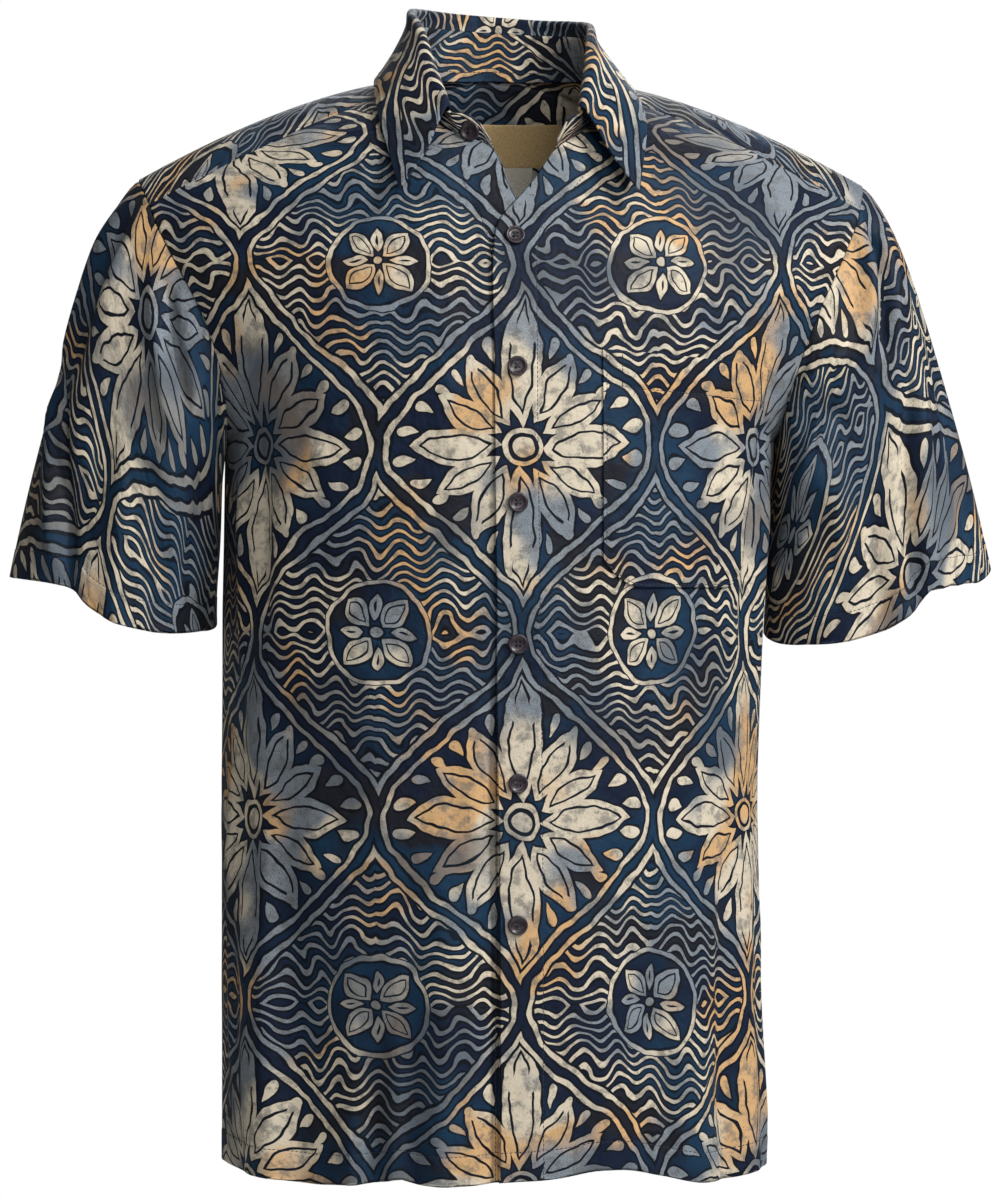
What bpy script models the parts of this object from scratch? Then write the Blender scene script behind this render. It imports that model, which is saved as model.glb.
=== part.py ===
"""Short-sleeved batik shirt, closed down the front and open at the neck, in the hollow form it has when worn.

Every cloth piece is a thin wall lofted through sections. A section runs across the garment from an inner
point (centre front, neckline or centre back) to an outer point (armhole or side seam). Metres, +Z up, the
front faces -Y and the wearer's left is +X. The origin lies between the shoulders, at the base of the neck.
"""
import math
from collections import namedtuple

import bmesh
import bpy
import numpy as np
from mathutils import Matrix, Vector

# Driving dimensions, in metres.
CLOTH = 0.0015            # thickness of one cloth wall
SEAM_GAP = 0.0003         # clear distance between two pieces at a seam
COLLAR_GAP = 0.0017       # twice the leaf's own share of the gap above the stand, where both twist
LAP_CLEARANCE = 0.0008    # clear distance between the two lapped fronts
LAP_RAMP = (-0.050, -0.024)   # across, where the under front sinks below the lap
# How far the body's sides hang to the wearer's left, by height.
LEAN_HEIGHTS = (-0.745, -0.62, -0.48, -0.36, -0.18)
LEANS = (-0.0062, -0.0090, -0.0090, -0.0067, 0.0)
LEAN_REACH = 0.15         # from the centre, where the sides lean fully
SIDE_FADE = 0.035         # folds fade out over this distance from the side seam
BUTTON_RADIUS = 0.0067
BUTTON_THICKNESS = 0.0028
BUTTON_HOLE_RADIUS = 0.0010
BUTTON_HOLE_SPREAD = 0.0014
BUTTON_X = -0.003
BUTTON_HEIGHTS = (-0.1077, -0.1964, -0.2877, -0.3823, -0.4756, -0.5703)
STAND_BUTTON_ROW = 1.5     # up the stand's mesh rows
STAND_BUTTON_POINT = 0.55  # in mesh points from the stand's right end
POCKET_TOP, POCKET_BOTTOM = -0.1846, -0.3445
POCKET_LEFT = 0.0545
POCKET_RIGHT_TOP, POCKET_RIGHT_BOTTOM = 0.1750, 0.1560
POCKET_SLOPE = 0.0095     # the pocket's top falls this much towards the side
POCKET_CORNER = 0.018     # the lower corners' rise
POCKET_CORNER_SHARE = 0.22    # and how far across they reach
POCKET_SPREAD = 1.25      # spaces the columns evenly along the cloth as it rounds towards the side
POCKET_CELLS = (12, 12)   # across, up
POCKET_LIFT = 0.0010      # clear of the front, whose flat facets lie just inside its curve
LABEL_CENTRE, LABEL_WIDTH = 0.017, 0.064
LABEL_TOP, LABEL_BOTTOM = -0.009, -0.039
TAB_WIDTH, TAB_BOTTOM = 0.026, -0.064
LABEL_THICKNESS = 0.001
LABEL_LIFT = 0.0006       # clear of the yoke's inner face
LABEL_CELLS = (6, 3)      # across, up
LABEL_START = (2.0, 1.0)  # a row and column of the yoke near the label

COLUMNS = 14              # cells across one half of the body
SLEEVE_ROWS = 11

# Sections of the front, from the hem up. over_x and under_x are the inner ends of the two fronts, each
# measured towards its own side; heading_in and heading_out are the section's directions in plan, in
# degrees from straight across; pull is the length of its handles; drop bends its fall from inner to outer.
FrontRow = namedtuple(
    "FrontRow", "name over_x under_x in_y in_z out_x out_y out_z heading_in heading_out pull drop")
FRONT = [FrontRow(*row) for row in (
    ("hem",       -.0150, -.013, -.1410, -.7425, .1910,  .0000, -.7470,   0, 90, .62, 2.0),
    ("thigh",     -.0155, -.013, -.1460, -.6200, .1885,  .0000, -.6200,   0, 90, .62, 2.0),
    ("hip",       -.0165, -.013, -.1480, -.4800, .1885,  .0000, -.4800,   0, 90, .62, 2.0),
    ("waist",     -.0180, -.013, -.1490, -.3600, .1900,  .0000, -.3600,   0, 90, .62, 2.0),
    ("rib",       -.0190, -.013, -.1490, -.2850, .1915,  .0000, -.2900,   0, 90, .62, 2.0),
    ("underarm",  -.0195, -.013, -.1480, -.2320, .1925,  .0000, -.2450,   0, 90, .61, 2.0),
    ("scye_1",    -.0195, -.013, -.1460, -.2050, .1925, -.0360, -.2350,   0, 78, .56, 2.0),
    ("scye_2",    -.0195, -.013, -.1430, -.1760, .1955, -.0570, -.2130,   0, 62, .50, 2.0),
    ("scye_3",    -.0193, -.012, -.1380, -.1480, .2030, -.0655, -.1840,   0, 50, .45, 1.9),
    ("scye_4",    -.0185, -.011, -.1310, -.1200, .2125, -.0665, -.1580,   0, 43, .42, 1.7),
    ("vee_foot",  -.0130, -.006, -.1220, -.0960, .2225, -.0615, -.1370,   0, 38, .40, 1.5),
    ("vee_mid",    .0100, .0055, -.1100, -.0690, .2320, -.0530, -.1185,   0, 33, .38, 1.4),
    ("stand_end",  .0280, .0156, -.0980, -.0450, .2385, -.0465, -.1050,  -4, 28, .36, 1.3),
    ("neck_1",     .0490, .0465, -.0810, -.0310, .2430, -.0415, -.0950,  -8, 22, .35, 1.25),
    ("neck_2",     .0630, .0620, -.0530, -.0130, .2460, -.0380, -.0870, -11, 15, .34, 1.2),
    ("yoke_seam",  .0705, .0705, -.0220,  .0010, .2480, -.0350, -.0800, -12,  9, .33, 1.2),
)]

# Sections of the back, from the hem up, and of the yoke, from its back seam over the shoulder.
BackRow = namedtuple(
    "BackRow", "name in_x in_y in_z out_x out_y out_z heading_in heading_out pull drop")
BACK = [BackRow(*row) for row in (
    ("hem",       .0, .1340, -.7450, .1910, .0000, -.7470, 0, -90, .62, 2.0),
    ("thigh",     .0, .1360, -.6200, .1885, .0000, -.6200, 0, -90, .62, 2.0),
    ("hip",       .0, .1340, -.4800, .1885, .0000, -.4800, 0, -90, .62, 2.0),
    ("waist",     .0, .1320, -.3600, .1900, .0000, -.3600, 0, -90, .62, 2.0),
    ("rib",       .0, .1330, -.2900, .1915, .0000, -.2900, 0, -90, .62, 2.0),
    ("underarm",  .0, .1340, -.2350, .1925, .0000, -.2450, 0, -90, .61, 2.0),
    ("scye_1",    .0, .1335, -.2050, .1925, .0360, -.2360, 0, -78, .56, 2.0),
    ("scye_2",    .0, .1310, -.1750, .1970, .0600, -.2120, 0, -60, .50, 2.0),
    ("scye_3",    .0, .1270, -.1470, .2060, .0700, -.1820, 0, -48, .45, 1.9),
    ("scye_4",    .0, .1210, -.1180, .2180, .0715, -.1530, 0, -40, .42, 1.7),
    ("yoke_seam", .0, .1130, -.0900, .2295, .0660, -.1270, 0, -34, .40, 1.6),
)]
YOKE = [BackRow(*row) for row in (
    ("yoke_seam",  .0000,  .1130, -.0900, .2295,  .0660, -.1270,   0, -34, .40, 1.6),
    ("blade",      .0000,  .1030, -.0530, .2370,  .0575, -.1100,   0, -30, .38, 1.6),
    ("nape",       .0000,  .0900, -.0140, .2430,  .0490, -.0960,   0, -25, .36, 1.5),
    ("neck_back",  .0000,  .0745,  .0200, .2475,  .0400, -.0835,   0, -20, .34, 1.5),
    ("neck_1",     .0260,  .0710,  .0190, .2515,  .0280, -.0715,  -6, -18, .33, 1.5),
    ("neck_2",     .0500,  .0540,  .0180, .2540,  .0150, -.0635,  -8, -12, .33, 1.5),
    ("neck_3",     .0650,  .0280,  .0145, .2555,  .0020, -.0600,  -8,  -6, .33, 1.5),
    ("neck_4",     .0710,  .0020,  .0090, .2540, -.0130, -.0645, -10,   0, .33, 1.4),
    ("front_seam", .0705, -.0220,  .0010, .2480, -.0350, -.0800, -12,   9, .33, 1.2),
)]

# How finely the mesh rows follow the sections: (first section, last section, cells between them).
FRONT_CELLS = (("hem", "underarm", 15), ("underarm", "yoke_seam", 13))
BACK_CELLS = (("hem", "underarm", 15), ("underarm", "yoke_seam", 7))
YOKE_CELLS = (("yoke_seam", "neck_back", 4), ("neck_back", "front_seam", 7))

# Largest folds. across is the distance from the centre along the cloth at the fold's top and bottom. A fold
# rises over the first part of its length and fades about its bottom; one that runs past the hem doesn't.
FOLD_RISE = 0.45          # share of the length in which a fold rises
FOLD_FADE = (0.9, 1.1)    # where it fades, as shares of the length
Fold = namedtuple("Fold", "panel side top_across bottom_across top_z bottom_z height half_width")
FOLDS = [Fold(*row) for row in (
    ("front", -1, .150, .190, -.250, -.480,  .0050, .020),
    ("front", -1, .200, .180, -.500, -.800,  .0085, .017),
    ("front", -1, .142, .130, -.540, -.800, -.0060, .018),
    ("front", -1, .052, .050, -.480, -.800,  .0070, .016),
    ("front", -1, .092, .082, -.600, -.800, -.0045, .016),
    ("front",  1, .088, .090, -.540, -.800, -.0075, .017),
    ("front",  1, .132, .128, -.560, -.800,  .0060, .018),
    ("front",  1, .195, .190, -.440, -.800,  .0060, .018),
    ("back",  -1, .150, .120, -.260, -.600,  .0060, .022),
    ("back",  -1, .070, .062, -.400, -.800, -.0070, .020),
    ("back",  -1, .190, .175, -.480, -.800,  .0070, .018),
    ("back",   1, .155, .135, -.250, -.560,  .0055, .022),
    ("back",   1, .040, .048, -.480, -.800,  .0065, .020),
    ("back",   1, .105, .110, -.440, -.800, -.0070, .018),
    ("back",   1, .190, .185, -.540, -.800,  .0060, .018),
)]

# Cuffs: centre, half of the width seen from the front, half of the depth, the opening's tilt and the outer
# line's slope in degrees, how far the front hangs lower, and how much of that a fold near its top takes up.
Cuff = namedtuple("Cuff", "name side centre_x centre_z half_width half_depth tilt slope droop notch")
CUFFS = [Cuff(*row) for row in (
    ("sleeve_left",   1, .2662, -.3519, .0860, .0560, 20.1, 13, .0215,  .5),
    ("sleeve_right", -1, .2725, -.3551, .0745, .0630, 15.0, 12, .0140, 1.0),
)]
NOTCH_ANGLES = (60.0, 80.0)   # where the cuff's fold ends, in degrees from the top edge
BACK_DROOP = 0.4          # the back of the cuff rises by this share of the front's droop
# A sleeve line leaves the shoulder outwards, from a little at the armpit to most at the top.
LEAVE_OUT, LEAVE_OUT_TOP, LEAVE_DEPTH, LEAVE_UP = 0.10, 0.73, 0.30, 0.42
LEAVE_PULL, ARRIVE_PULL = 0.42, 0.90
SLEEVE_SPACING = 1.15     # the sleeve's rows are closer together near the shoulder
# Sleeve folds: angle round the sleeve in degrees from its top edge, front first, at the fold's start and
# end, the start and end down the sleeve from 0 to 1, the height, and the half width in degrees.
SLEEVE_FOLD_RISE = 0.33
SLEEVE_FOLD_FADE = (1.0, 1.25)
SleeveFold = namedtuple("SleeveFold", "side start_angle end_angle start end height half_angle")
SLEEVE_FOLDS = [SleeveFold(*row) for row in (
    ( 1,  38,  62, .04,  .60,  .0050, 13),
    ( 1,  70,  95, .10,  .90, -.0045, 14),
    ( 1, 128, 112, .20, 1.05,  .0040, 14),
    ( 1, 300, 285, .10,  .80,  .0050, 15),
    ( 1, 240, 250, .35, 1.05, -.0045, 15),
    (-1,  30,  48, .06,  .60,  .0040, 14),
    (-1,  66,  58, .45, 1.05, -.0060, 13),
    (-1, 120, 108, .30, 1.05,  .0045, 15),
    (-1, 310, 290, .10,  .85,  .0045, 15),
    (-1, 235, 245, .40, 1.05, -.0045, 15),
)]

# The collar by its place on the neck seam, from 0 at centre back to 1 at the leaf's front end: the roll
# line where the leaf turns over, the leaf's outer edge, how far the leaf bows out between them, how far
# the edge hangs to the wearer's left, and how far the roll line sinks, most on the left (tip).
CollarRow = namedtuple("CollarRow", "place roll_x roll_y roll_z edge_x edge_y edge_z bow shift sink tip")
COLLAR = [CollarRow(*row) for row in (
    (.00, .0000,  .0775,  .0685, .0000,  .1010,  .0180, .0040,  .0000, .0035, .0000),
    (.20, .0310,  .0720,  .0680, .0390,  .0945,  .0170, .0040,  .0000, .0035, .0022),
    (.38, .0530,  .0500,  .0660, .0660,  .0700,  .0165, .0020, -.0005, .0035, .0037),
    (.54, .0620,  .0200,  .0605, .0835,  .0330,  .0150,-.0020, -.0010, .0033, .0040),
    (.70, .0580, -.0180,  .0440, .0900, -.0160,  .0050, .0000, -.0010, .0020, .0025),
    (.86, .0525, -.0570,  .0130, .0910, -.0760, -.0290, .0045,  .0010, .0005, .0005),
    (1.0, .0472, -.0890, -.0180, .0815, -.1230, -.0772, .0050,  .0005, .0000, .0000),
)]
# The leaf's profile from the roll line to its outer edge: its share of the fall, how far it stands out with
# the bow and without it, how far it rises, and how far it widens at the leaf's front end.
LeafPoint = namedtuple("LeafPoint", "fall bow out up widen")
LEAF_PROFILE = [LeafPoint(*row) for row in (
    (.00, 0.0, .0022, .0010, .0042),
    (.16, 1.0, .0018, .0000, .0065),
    (.52, 1.0, .0000, .0012, .0088),
    (.76, 0.7, .0000, .0006, .0064),
    (1.0, 0.0, .0000, .0000, .0006),
)]
WIDEN_ROLL = 0.0030       # how far the roll line itself moves with the widened end
WIDEN_FROM = 0.80         # the place on the neck seam from which the leaf widens towards its front end
WIDEN_TOWARDS = (-0.816, -0.557, -0.155)
STAND_SHARE = 0.78        # the stand's height as a share of the way up to the roll line
STAND_END = (.0060, .0020, .0200)   # the rounded front end's top corner, from the end of the neck seam
# The hem's rise and fall: across, height and half width.
HEM_WAVES = ((0.060, 0.0065, 0.028), (-0.050, -0.003, 0.040))
HEM_WAVE_HEIGHTS = (-0.60, -0.745)
SAME_POINT = 5            # decimal places at which two points are the same one
SHARED_TURN = 0.3         # pieces whose directions' dot product is under this share no mitre in full
SHALLOW = 0.35            # least depth a handle allows for, as a share of its section's width
LEAF_FOOT = 0.55          # a leaf point between the stand's top and the roll line
STAND_ROWS = 4
# A button's profile from its centre out, over the rim and back, as shares of its radius and thickness.
BUTTON_PROFILE = ((0.0, 0.62), (0.60, 0.62), (0.78, 1.0), (0.93, 0.94), (1.0, 0.55), (0.90, 0.0), (0.0, 0.0))
BUTTON_SIDES = 16
HOLE_SIDES = 6
SHARP = math.radians(50)  # edges that turn by more than this stay sharp

COLOURS = {
    "cloth": ((0.028, 0.050, 0.095, 1.0), 0.62),
    "label": ((0.55, 0.40, 0.20, 1.0), 0.55),
    "tab": ((0.70, 0.64, 0.52, 1.0), 0.60),
    "button": ((0.035, 0.025, 0.035, 1.0), 0.32),
}


def start_clean():
    """Remove the scene's objects and make the collections for the part and for its cutters."""
    for item in list(bpy.data.objects):
        bpy.data.objects.remove(item, do_unlink=True)
    collections = {}
    for name in ("batik_shirt", "cutters"):
        collection = bpy.data.collections.new(name)
        bpy.context.scene.collection.children.link(collection)
        collections[name] = collection
    return collections


def ease(value):
    """Rise smoothly from 0 to 1."""
    value = np.clip(value, 0.0, 1.0)
    return value * value * (3.0 - 2.0 * value)


def between(value, low, high):
    """Tell where a value lies between two others, from 0 to 1."""
    return (value - low) / (high - low)


def through(places, values, wanted):
    """Follow a smooth curve through values given at rising places."""
    places = np.asarray(places, float)
    values = np.asarray(values, float)
    slopes = np.gradient(values, places, axis=0)
    index = int(np.clip(np.searchsorted(places, wanted, side="right") - 1, 0, len(places) - 2))
    span = places[index + 1] - places[index]
    t = (wanted - places[index]) / span
    start = values[index] * (1 + 2 * t) * (1 - t) ** 2 + slopes[index] * span * t * (1 - t) ** 2
    finish = values[index + 1] * t * t * (3 - 2 * t) - slopes[index + 1] * span * t * t * (1 - t)
    return start + finish


def plan_curve(inner, outer, heading_in, heading_out, pull, share):
    """Follow a section's curve in plan, with handles that leave its ends at their headings."""
    reach = abs(outer[0] - inner[0])
    depth = abs(outer[1] - inner[1])
    handles = []
    for heading in (heading_in, heading_out):
        angle = math.radians(heading)
        across = abs(math.cos(angle))
        length = pull * (reach * across + max(depth, SHALLOW * reach) * (1.0 - across))
        handles.append(np.array([math.cos(angle), math.sin(angle)]) * length)
    first = inner + handles[0]
    second = outer - handles[1]
    rest = 1.0 - share
    return (inner * rest ** 3 + first * 3 * rest * rest * share
            + second * 3 * rest * share * share + outer * share ** 3)


def section_points(row, inner_x, count):
    """Space points evenly along one section, from its inner end to its outer end.

    An inner end past the centre line follows the section's own mirror image, so that the fronts can lap.
    """
    inner = np.array([max(inner_x, 0.0), row["in_y"]])
    outer = np.array([row["out_x"], row["out_y"]])
    fine = np.array([plan_curve(inner, outer, row["heading_in"], row["heading_out"], row["pull"], t)
                     for t in np.linspace(0.0, 1.0, 121)])
    if inner_x < 0.0:
        lap = np.linspace(inner_x, 0.0, 9)[:-1]
        lap_depth = np.interp(-lap, fine[:, 0], fine[:, 1])
        fine = np.concatenate([np.stack([lap, lap_depth], axis=1), fine])
    steps = np.linalg.norm(np.diff(fine, axis=0), axis=1)
    along = np.concatenate(([0.0], np.cumsum(steps)))
    shares = np.linspace(0.0, 1.0, count + 1)
    x = np.interp(shares * along[-1], along, fine[:, 0])
    y = np.interp(shares * along[-1], along, fine[:, 1])
    z = row["in_z"] + (row["out_z"] - row["in_z"]) * shares ** row["drop"]
    return np.stack([x, y, z], axis=1), shares * along[-1]


def lofted(rows, cells, inner_column):
    """Loft a half panel through its sections: points by row and column, and their distance across.

    Each run of cells follows its own sections only, so that the cloth may turn a corner between two runs.
    """
    names = [row.name for row in rows]
    fields = [field for field in rows[0]._fields if field != "name"]
    grid, across = [], []
    for first, last, count in cells:
        run = rows[names.index(first):names.index(last) + 1]
        places = np.linspace(0.0, len(run) - 1.0, count + 1)
        for place in places if last == cells[-1][1] else places[:-1]:
            row = {field: float(through(range(len(run)), [getattr(r, field) for r in run], place))
                   for field in fields}
            points, distances = section_points(row, row[inner_column], COLUMNS)
            grid.append(points)
            across.append(distances)
    return np.array(grid), np.array(across)


def directions(grid, outward):
    """Work out the outward direction at each point of a grid."""
    along = np.gradient(grid, axis=1)
    upward = np.gradient(grid, axis=0)
    normal = np.cross(along, upward) * outward
    return normal / np.linalg.norm(normal, axis=2, keepdims=True)


def folded(grid, across, outward, panel, side):
    """Push the large folds of one panel out or in, fading towards its seams."""
    normal = directions(grid, outward)
    height = np.zeros(across.shape)
    for fold in FOLDS:
        if fold.panel != panel or fold.side != side:
            continue
        down = between(grid[:, :, 2], fold.top_z, fold.bottom_z)
        centre = fold.top_across + (fold.bottom_across - fold.top_across) * down
        bell = np.exp(-((across - centre) / fold.half_width) ** 2)
        height += fold.height * bell * ease(down / FOLD_RISE) * ease(between(down, *FOLD_FADE[::-1]))
    side_fade = ease(between(across, across[:, -1:], across[:, -1:] - SIDE_FADE))
    return grid + normal * (height * side_fade)[:, :, None]


def leaning(grid):
    """Let the body hang a little to one side below the armpit, leaving the centre where it is."""
    lean = np.interp(grid[:, :, 2], LEAN_HEIGHTS, LEANS)
    share = np.clip(np.abs(grid[:, :, 0]) / LEAN_REACH, 0.0, 1.0) ** 2
    moved = grid.copy()
    moved[:, :, 0] += lean * share
    return moved


def hem_wave(grid):
    """Let the hem of a front rise and fall gently."""
    near_hem = ease(between(grid[:, :, 2], *HEM_WAVE_HEIGHTS))
    moved = grid.copy()
    for across, height, half_width in HEM_WAVES:
        moved[:, :, 2] += height * near_hem * np.exp(-((grid[:, :, 0] - across) / half_width) ** 2)
    return moved


class Patch:
    """A grid of cloth points with its outward directions and its seams."""

    def __init__(self, grid, outward, seams, gap=SEAM_GAP):
        self.grid = grid
        self.normal = directions(grid, outward)
        self.seams = seams
        self.gap = gap

    def walls(self):
        """Give the outer and inner faces of the cloth, drawn back from each seam by half the gap."""
        outer = self.grid.copy()
        inner = self.grid - self.normal * CLOTH
        for face in (outer, inner):
            for seam in self.seams:
                draw_back(face, seam, self.gap / 2)
        return outer, inner


def draw_back(face, seam, distance):
    """Move one edge of a grid towards its neighbouring row or column."""
    edges = {"top": (-1, -2, 0), "bottom": (0, 1, 0), "outer": (-1, -2, 1), "inner": (0, 1, 1)}
    edge, neighbour, axis = edges[seam]
    view = face if axis == 0 else face.transpose(1, 0, 2)
    step = view[neighbour] - view[edge]
    length = np.linalg.norm(step, axis=1, keepdims=True)
    view[edge] += step / length * distance


def share_seams(patches):
    """Give points that two pieces share one mitred direction, unless the pieces turn sharply away."""
    meeting = {}
    for patch in patches:
        rows, columns = patch.grid.shape[:2]
        for r in range(rows):
            for c in range(columns):
                key = tuple(np.round(patch.grid[r, c], SAME_POINT))
                meeting.setdefault(key, []).append(patch.normal[r, c])
    mitred_directions = []
    for patch in patches:
        mitred = patch.normal.copy()
        rows, columns = patch.grid.shape[:2]
        for r in range(rows):
            for c in range(columns):
                own = patch.normal[r, c]
                total = np.zeros(3)
                for other in meeting[tuple(np.round(patch.grid[r, c], SAME_POINT))]:
                    total += other * float(np.clip(np.dot(own, other) / SHARED_TURN, 0.0, 1.0))
                mitred[r, c] = total / np.linalg.norm(total)
        mitred_directions.append(mitred)
    for patch, mitred in zip(patches, mitred_directions):
        patch.normal = mitred


def material(name):
    """Make the plain material of one piece."""
    colour, roughness = COLOURS[name]
    made = bpy.data.materials.new(name)
    made.use_nodes = True
    shader = made.node_tree.nodes["Principled BSDF"]
    shader.inputs["Base Color"].default_value = colour
    shader.inputs["Roughness"].default_value = roughness
    shader.inputs["Metallic"].default_value = 0.0
    return made


def sewn(name, faces_of, colour, collection):
    """Join pairs of outer and inner grids into one closed wall and make its object.

    Points that coincide on the outer grids are merged, and every free edge is closed by a rim.
    """
    places, outer_points, inner_points, cells = {}, [], [], []
    for outer, inner in faces_of:
        rows, columns = outer.shape[:2]
        index = np.zeros((rows, columns), int)
        for r in range(rows):
            for c in range(columns):
                key = tuple(np.round(outer[r, c], SAME_POINT))
                if key not in places:
                    places[key] = len(outer_points)
                    outer_points.append(outer[r, c])
                    inner_points.append(inner[r, c])
                index[r, c] = places[key]
        for r in range(rows - 1):
            for c in range(columns - 1):
                corners = (index[r, c], index[r, c + 1], index[r + 1, c + 1], index[r + 1, c])
                cells.append(list(dict.fromkeys(corners)))
    count = len(outer_points)
    faces = []
    edges = {}
    for cell in cells:
        faces.append(cell)
        faces.append([corner + count for corner in reversed(cell)])
        for start, finish in zip(cell, cell[1:] + cell[:1]):
            edges.setdefault(frozenset((start, finish)), []).append((start, finish))
    for uses in edges.values():
        if len(uses) == 1:
            start, finish = uses[0]
            faces.append([finish, start, start + count, finish + count])
    mesh = bpy.data.meshes.new(name)
    mesh.from_pydata([tuple(point) for point in outer_points + inner_points], [], faces)
    edit = bmesh.new()
    edit.from_mesh(mesh)
    bmesh.ops.recalc_face_normals(edit, faces=edit.faces)
    edit.to_mesh(mesh)
    edit.free()
    mesh.shade_smooth()
    mesh.set_sharp_from_angle(angle=SHARP)
    made = bpy.data.objects.new(name, mesh)
    made.data.materials.append(material(colour))
    collection.objects.link(made)
    return made


def body_patches():
    """Loft the fronts, the back and the yoke, each as half panels of the left and right side."""
    patches = {}
    for side, edge in ((1, "over_x"), (-1, "under_x")):
        grid, across = lofted(FRONT, FRONT_CELLS, edge)
        across = across + grid[:, :1, 0]
        if side == -1:
            # the under front sinks by its own thickness and a clearance where the over front laps it
            sink = (CLOTH + LAP_CLEARANCE) * ease(between(-grid[:, :, 0], *LAP_RAMP))
            grid[:, :, 1] += sink
        grid = folded(grid, across, 1, "front", side)
        grid = hem_wave(leaning(grid * (side, 1, 1)))
        patches["front", side] = Patch(grid, side, ("top", "outer", "inner"))
        grid, across = lofted(BACK, BACK_CELLS, "in_x")
        grid = leaning(folded(grid, across, -1, "back", side) * (side, 1, 1))
        patches["back", side] = Patch(grid, -side, ("top", "outer"))
        grid, across = lofted(YOKE, YOKE_CELLS, "in_x")
        patches["yoke", side] = Patch(grid * (side, 1, 1), -side, ("bottom", "top", "outer"))
    return patches


def armhole(patches, side):
    """Collect the armhole's points from the underarm up the front, over the yoke and down the back."""
    front = patches["front", side].grid[FRONT_CELLS[0][2]:, -1]
    yoke = patches["yoke", side].grid[:, -1]
    back = patches["back", side].grid[BACK_CELLS[0][2]:, -1]
    return np.concatenate([front, yoke[::-1][1:], back[::-1][1:]])


def sleeve_patch(patches, cuff):
    """Loft a sleeve from the armhole to its tilted cuff, each line leaving the shoulder outwards."""
    loop = armhole(patches, cuff.side)
    top = int(np.argmax(loop[:, 2]))
    steps = np.linalg.norm(np.diff(loop, axis=0), axis=1)
    along = np.concatenate(([0.0], np.cumsum(steps)))
    rising = 180.0 * (1.0 - along / along[top])
    falling = 180.0 + 180.0 * (along[-1] - along) / (along[-1] - along[top])
    angles = np.where(along <= along[top], rising, falling)
    tilt, slope = math.radians(cuff.tilt), math.radians(cuff.slope)
    sideways = np.array([cuff.side * math.cos(tilt), 0.0, math.sin(tilt)])
    centre = np.array([cuff.side * cuff.centre_x, 0.0, cuff.centre_z])
    grid = np.zeros((SLEEVE_ROWS + 1, len(loop), 3))
    for c, (start, angle) in enumerate(zip(loop, angles)):
        turn = math.radians(angle)
        upper = (1.0 + math.cos(turn)) / 2.0
        depth = -math.sin(turn)
        hang = cuff.droop * depth * (1.0 if depth < 0.0 else BACK_DROOP)
        hang = hang * (1.0 - cuff.notch * (1.0 - float(ease(between(angle, *NOTCH_ANGLES)))))
        finish = centre + sideways * cuff.half_width * math.cos(turn)
        finish = finish + np.array([0.0, cuff.half_depth * depth, hang])
        leave = np.array([cuff.side * (LEAVE_OUT + LEAVE_OUT_TOP * upper), LEAVE_DEPTH * depth,
                          LEAVE_UP * upper - 1.0])
        leave = leave / np.linalg.norm(leave)
        arrive = np.array([cuff.side * math.sin(slope) * upper, 0.0, -math.cos(slope)])
        length = float(np.linalg.norm(finish - start))
        for r in range(SLEEVE_ROWS + 1):
            t = (r / SLEEVE_ROWS) ** SLEEVE_SPACING
            point = (start * (1 + 2 * t) * (1 - t) ** 2 + finish * t * t * (3 - 2 * t)
                     + leave * length * LEAVE_PULL * t * (1 - t) ** 2
                     - arrive * length * ARRIVE_PULL * t * t * (1 - t))
            grid[r, c] = point
    normal = directions(grid, -cuff.side)
    for fold in SLEEVE_FOLDS:
        if fold.side != cuff.side:
            continue
        for r in range(SLEEVE_ROWS + 1):
            down = between(r / SLEEVE_ROWS, fold.start, fold.end)
            centre_angle = fold.start_angle + (fold.end_angle - fold.start_angle) * down
            away = (angles - centre_angle + 180.0) % 360.0 - 180.0
            strength = float(ease(down / SLEEVE_FOLD_RISE) * ease(between(down, *SLEEVE_FOLD_FADE[::-1])))
            grid[r] += normal[r] * (fold.height * strength * np.exp(-(away / fold.half_angle) ** 2))[:, None]
    grid[:, -1] = grid[:, 0]
    return Patch(grid, -cuff.side, ("bottom",))


def neck_seam(patches):
    """Collect the neck seam from the left front's end round the back to the right front's end."""
    names = [row.name for row in FRONT]
    sections = len(FRONT) - 1 - names.index("underarm")
    share = (names.index("stand_end") - names.index("underarm")) / sections
    first = FRONT_CELLS[0][2] + round(FRONT_CELLS[1][2] * share)
    halves = []
    for side in (1, -1):
        front = patches["front", side].grid[first:, 0]
        yoke = patches["yoke", side].grid[YOKE_CELLS[0][2]:, 0]
        halves.append(np.concatenate([front, yoke[::-1][1:]]))
    return np.concatenate([halves[0], halves[1][::-1][1:]]), len(halves[0]) - 1


def collar_places(seam, middle):
    """Give the side and place of each point of the neck seam.

    A place runs from 0 at centre back to 1 at the leaf's front end, one point short of the stand's end.
    """
    steps = np.linalg.norm(np.diff(seam, axis=0), axis=1)
    along = np.concatenate(([0.0], np.cumsum(steps)))
    leaf_reach = {1: along[middle] - along[1], -1: along[-2] - along[middle]}
    places = []
    for k, distance in enumerate(along):
        side = 1 if k <= middle else -1
        places.append((side, abs(distance - along[middle]) / leaf_reach[side]))
    return places


def collar_row(side, place):
    """Give the collar's roll point, edge point and bow at one place."""
    values = [row[1:] for row in COLLAR]
    row = CollarRow(place, *through([row.place for row in COLLAR], values, min(place, 1.0)))
    roll = np.array([side * row.roll_x, row.roll_y, row.roll_z - row.sink - side * row.tip])
    edge = np.array([side * row.edge_x + row.shift, row.edge_y, row.edge_z])
    return roll, edge, row.bow


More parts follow.
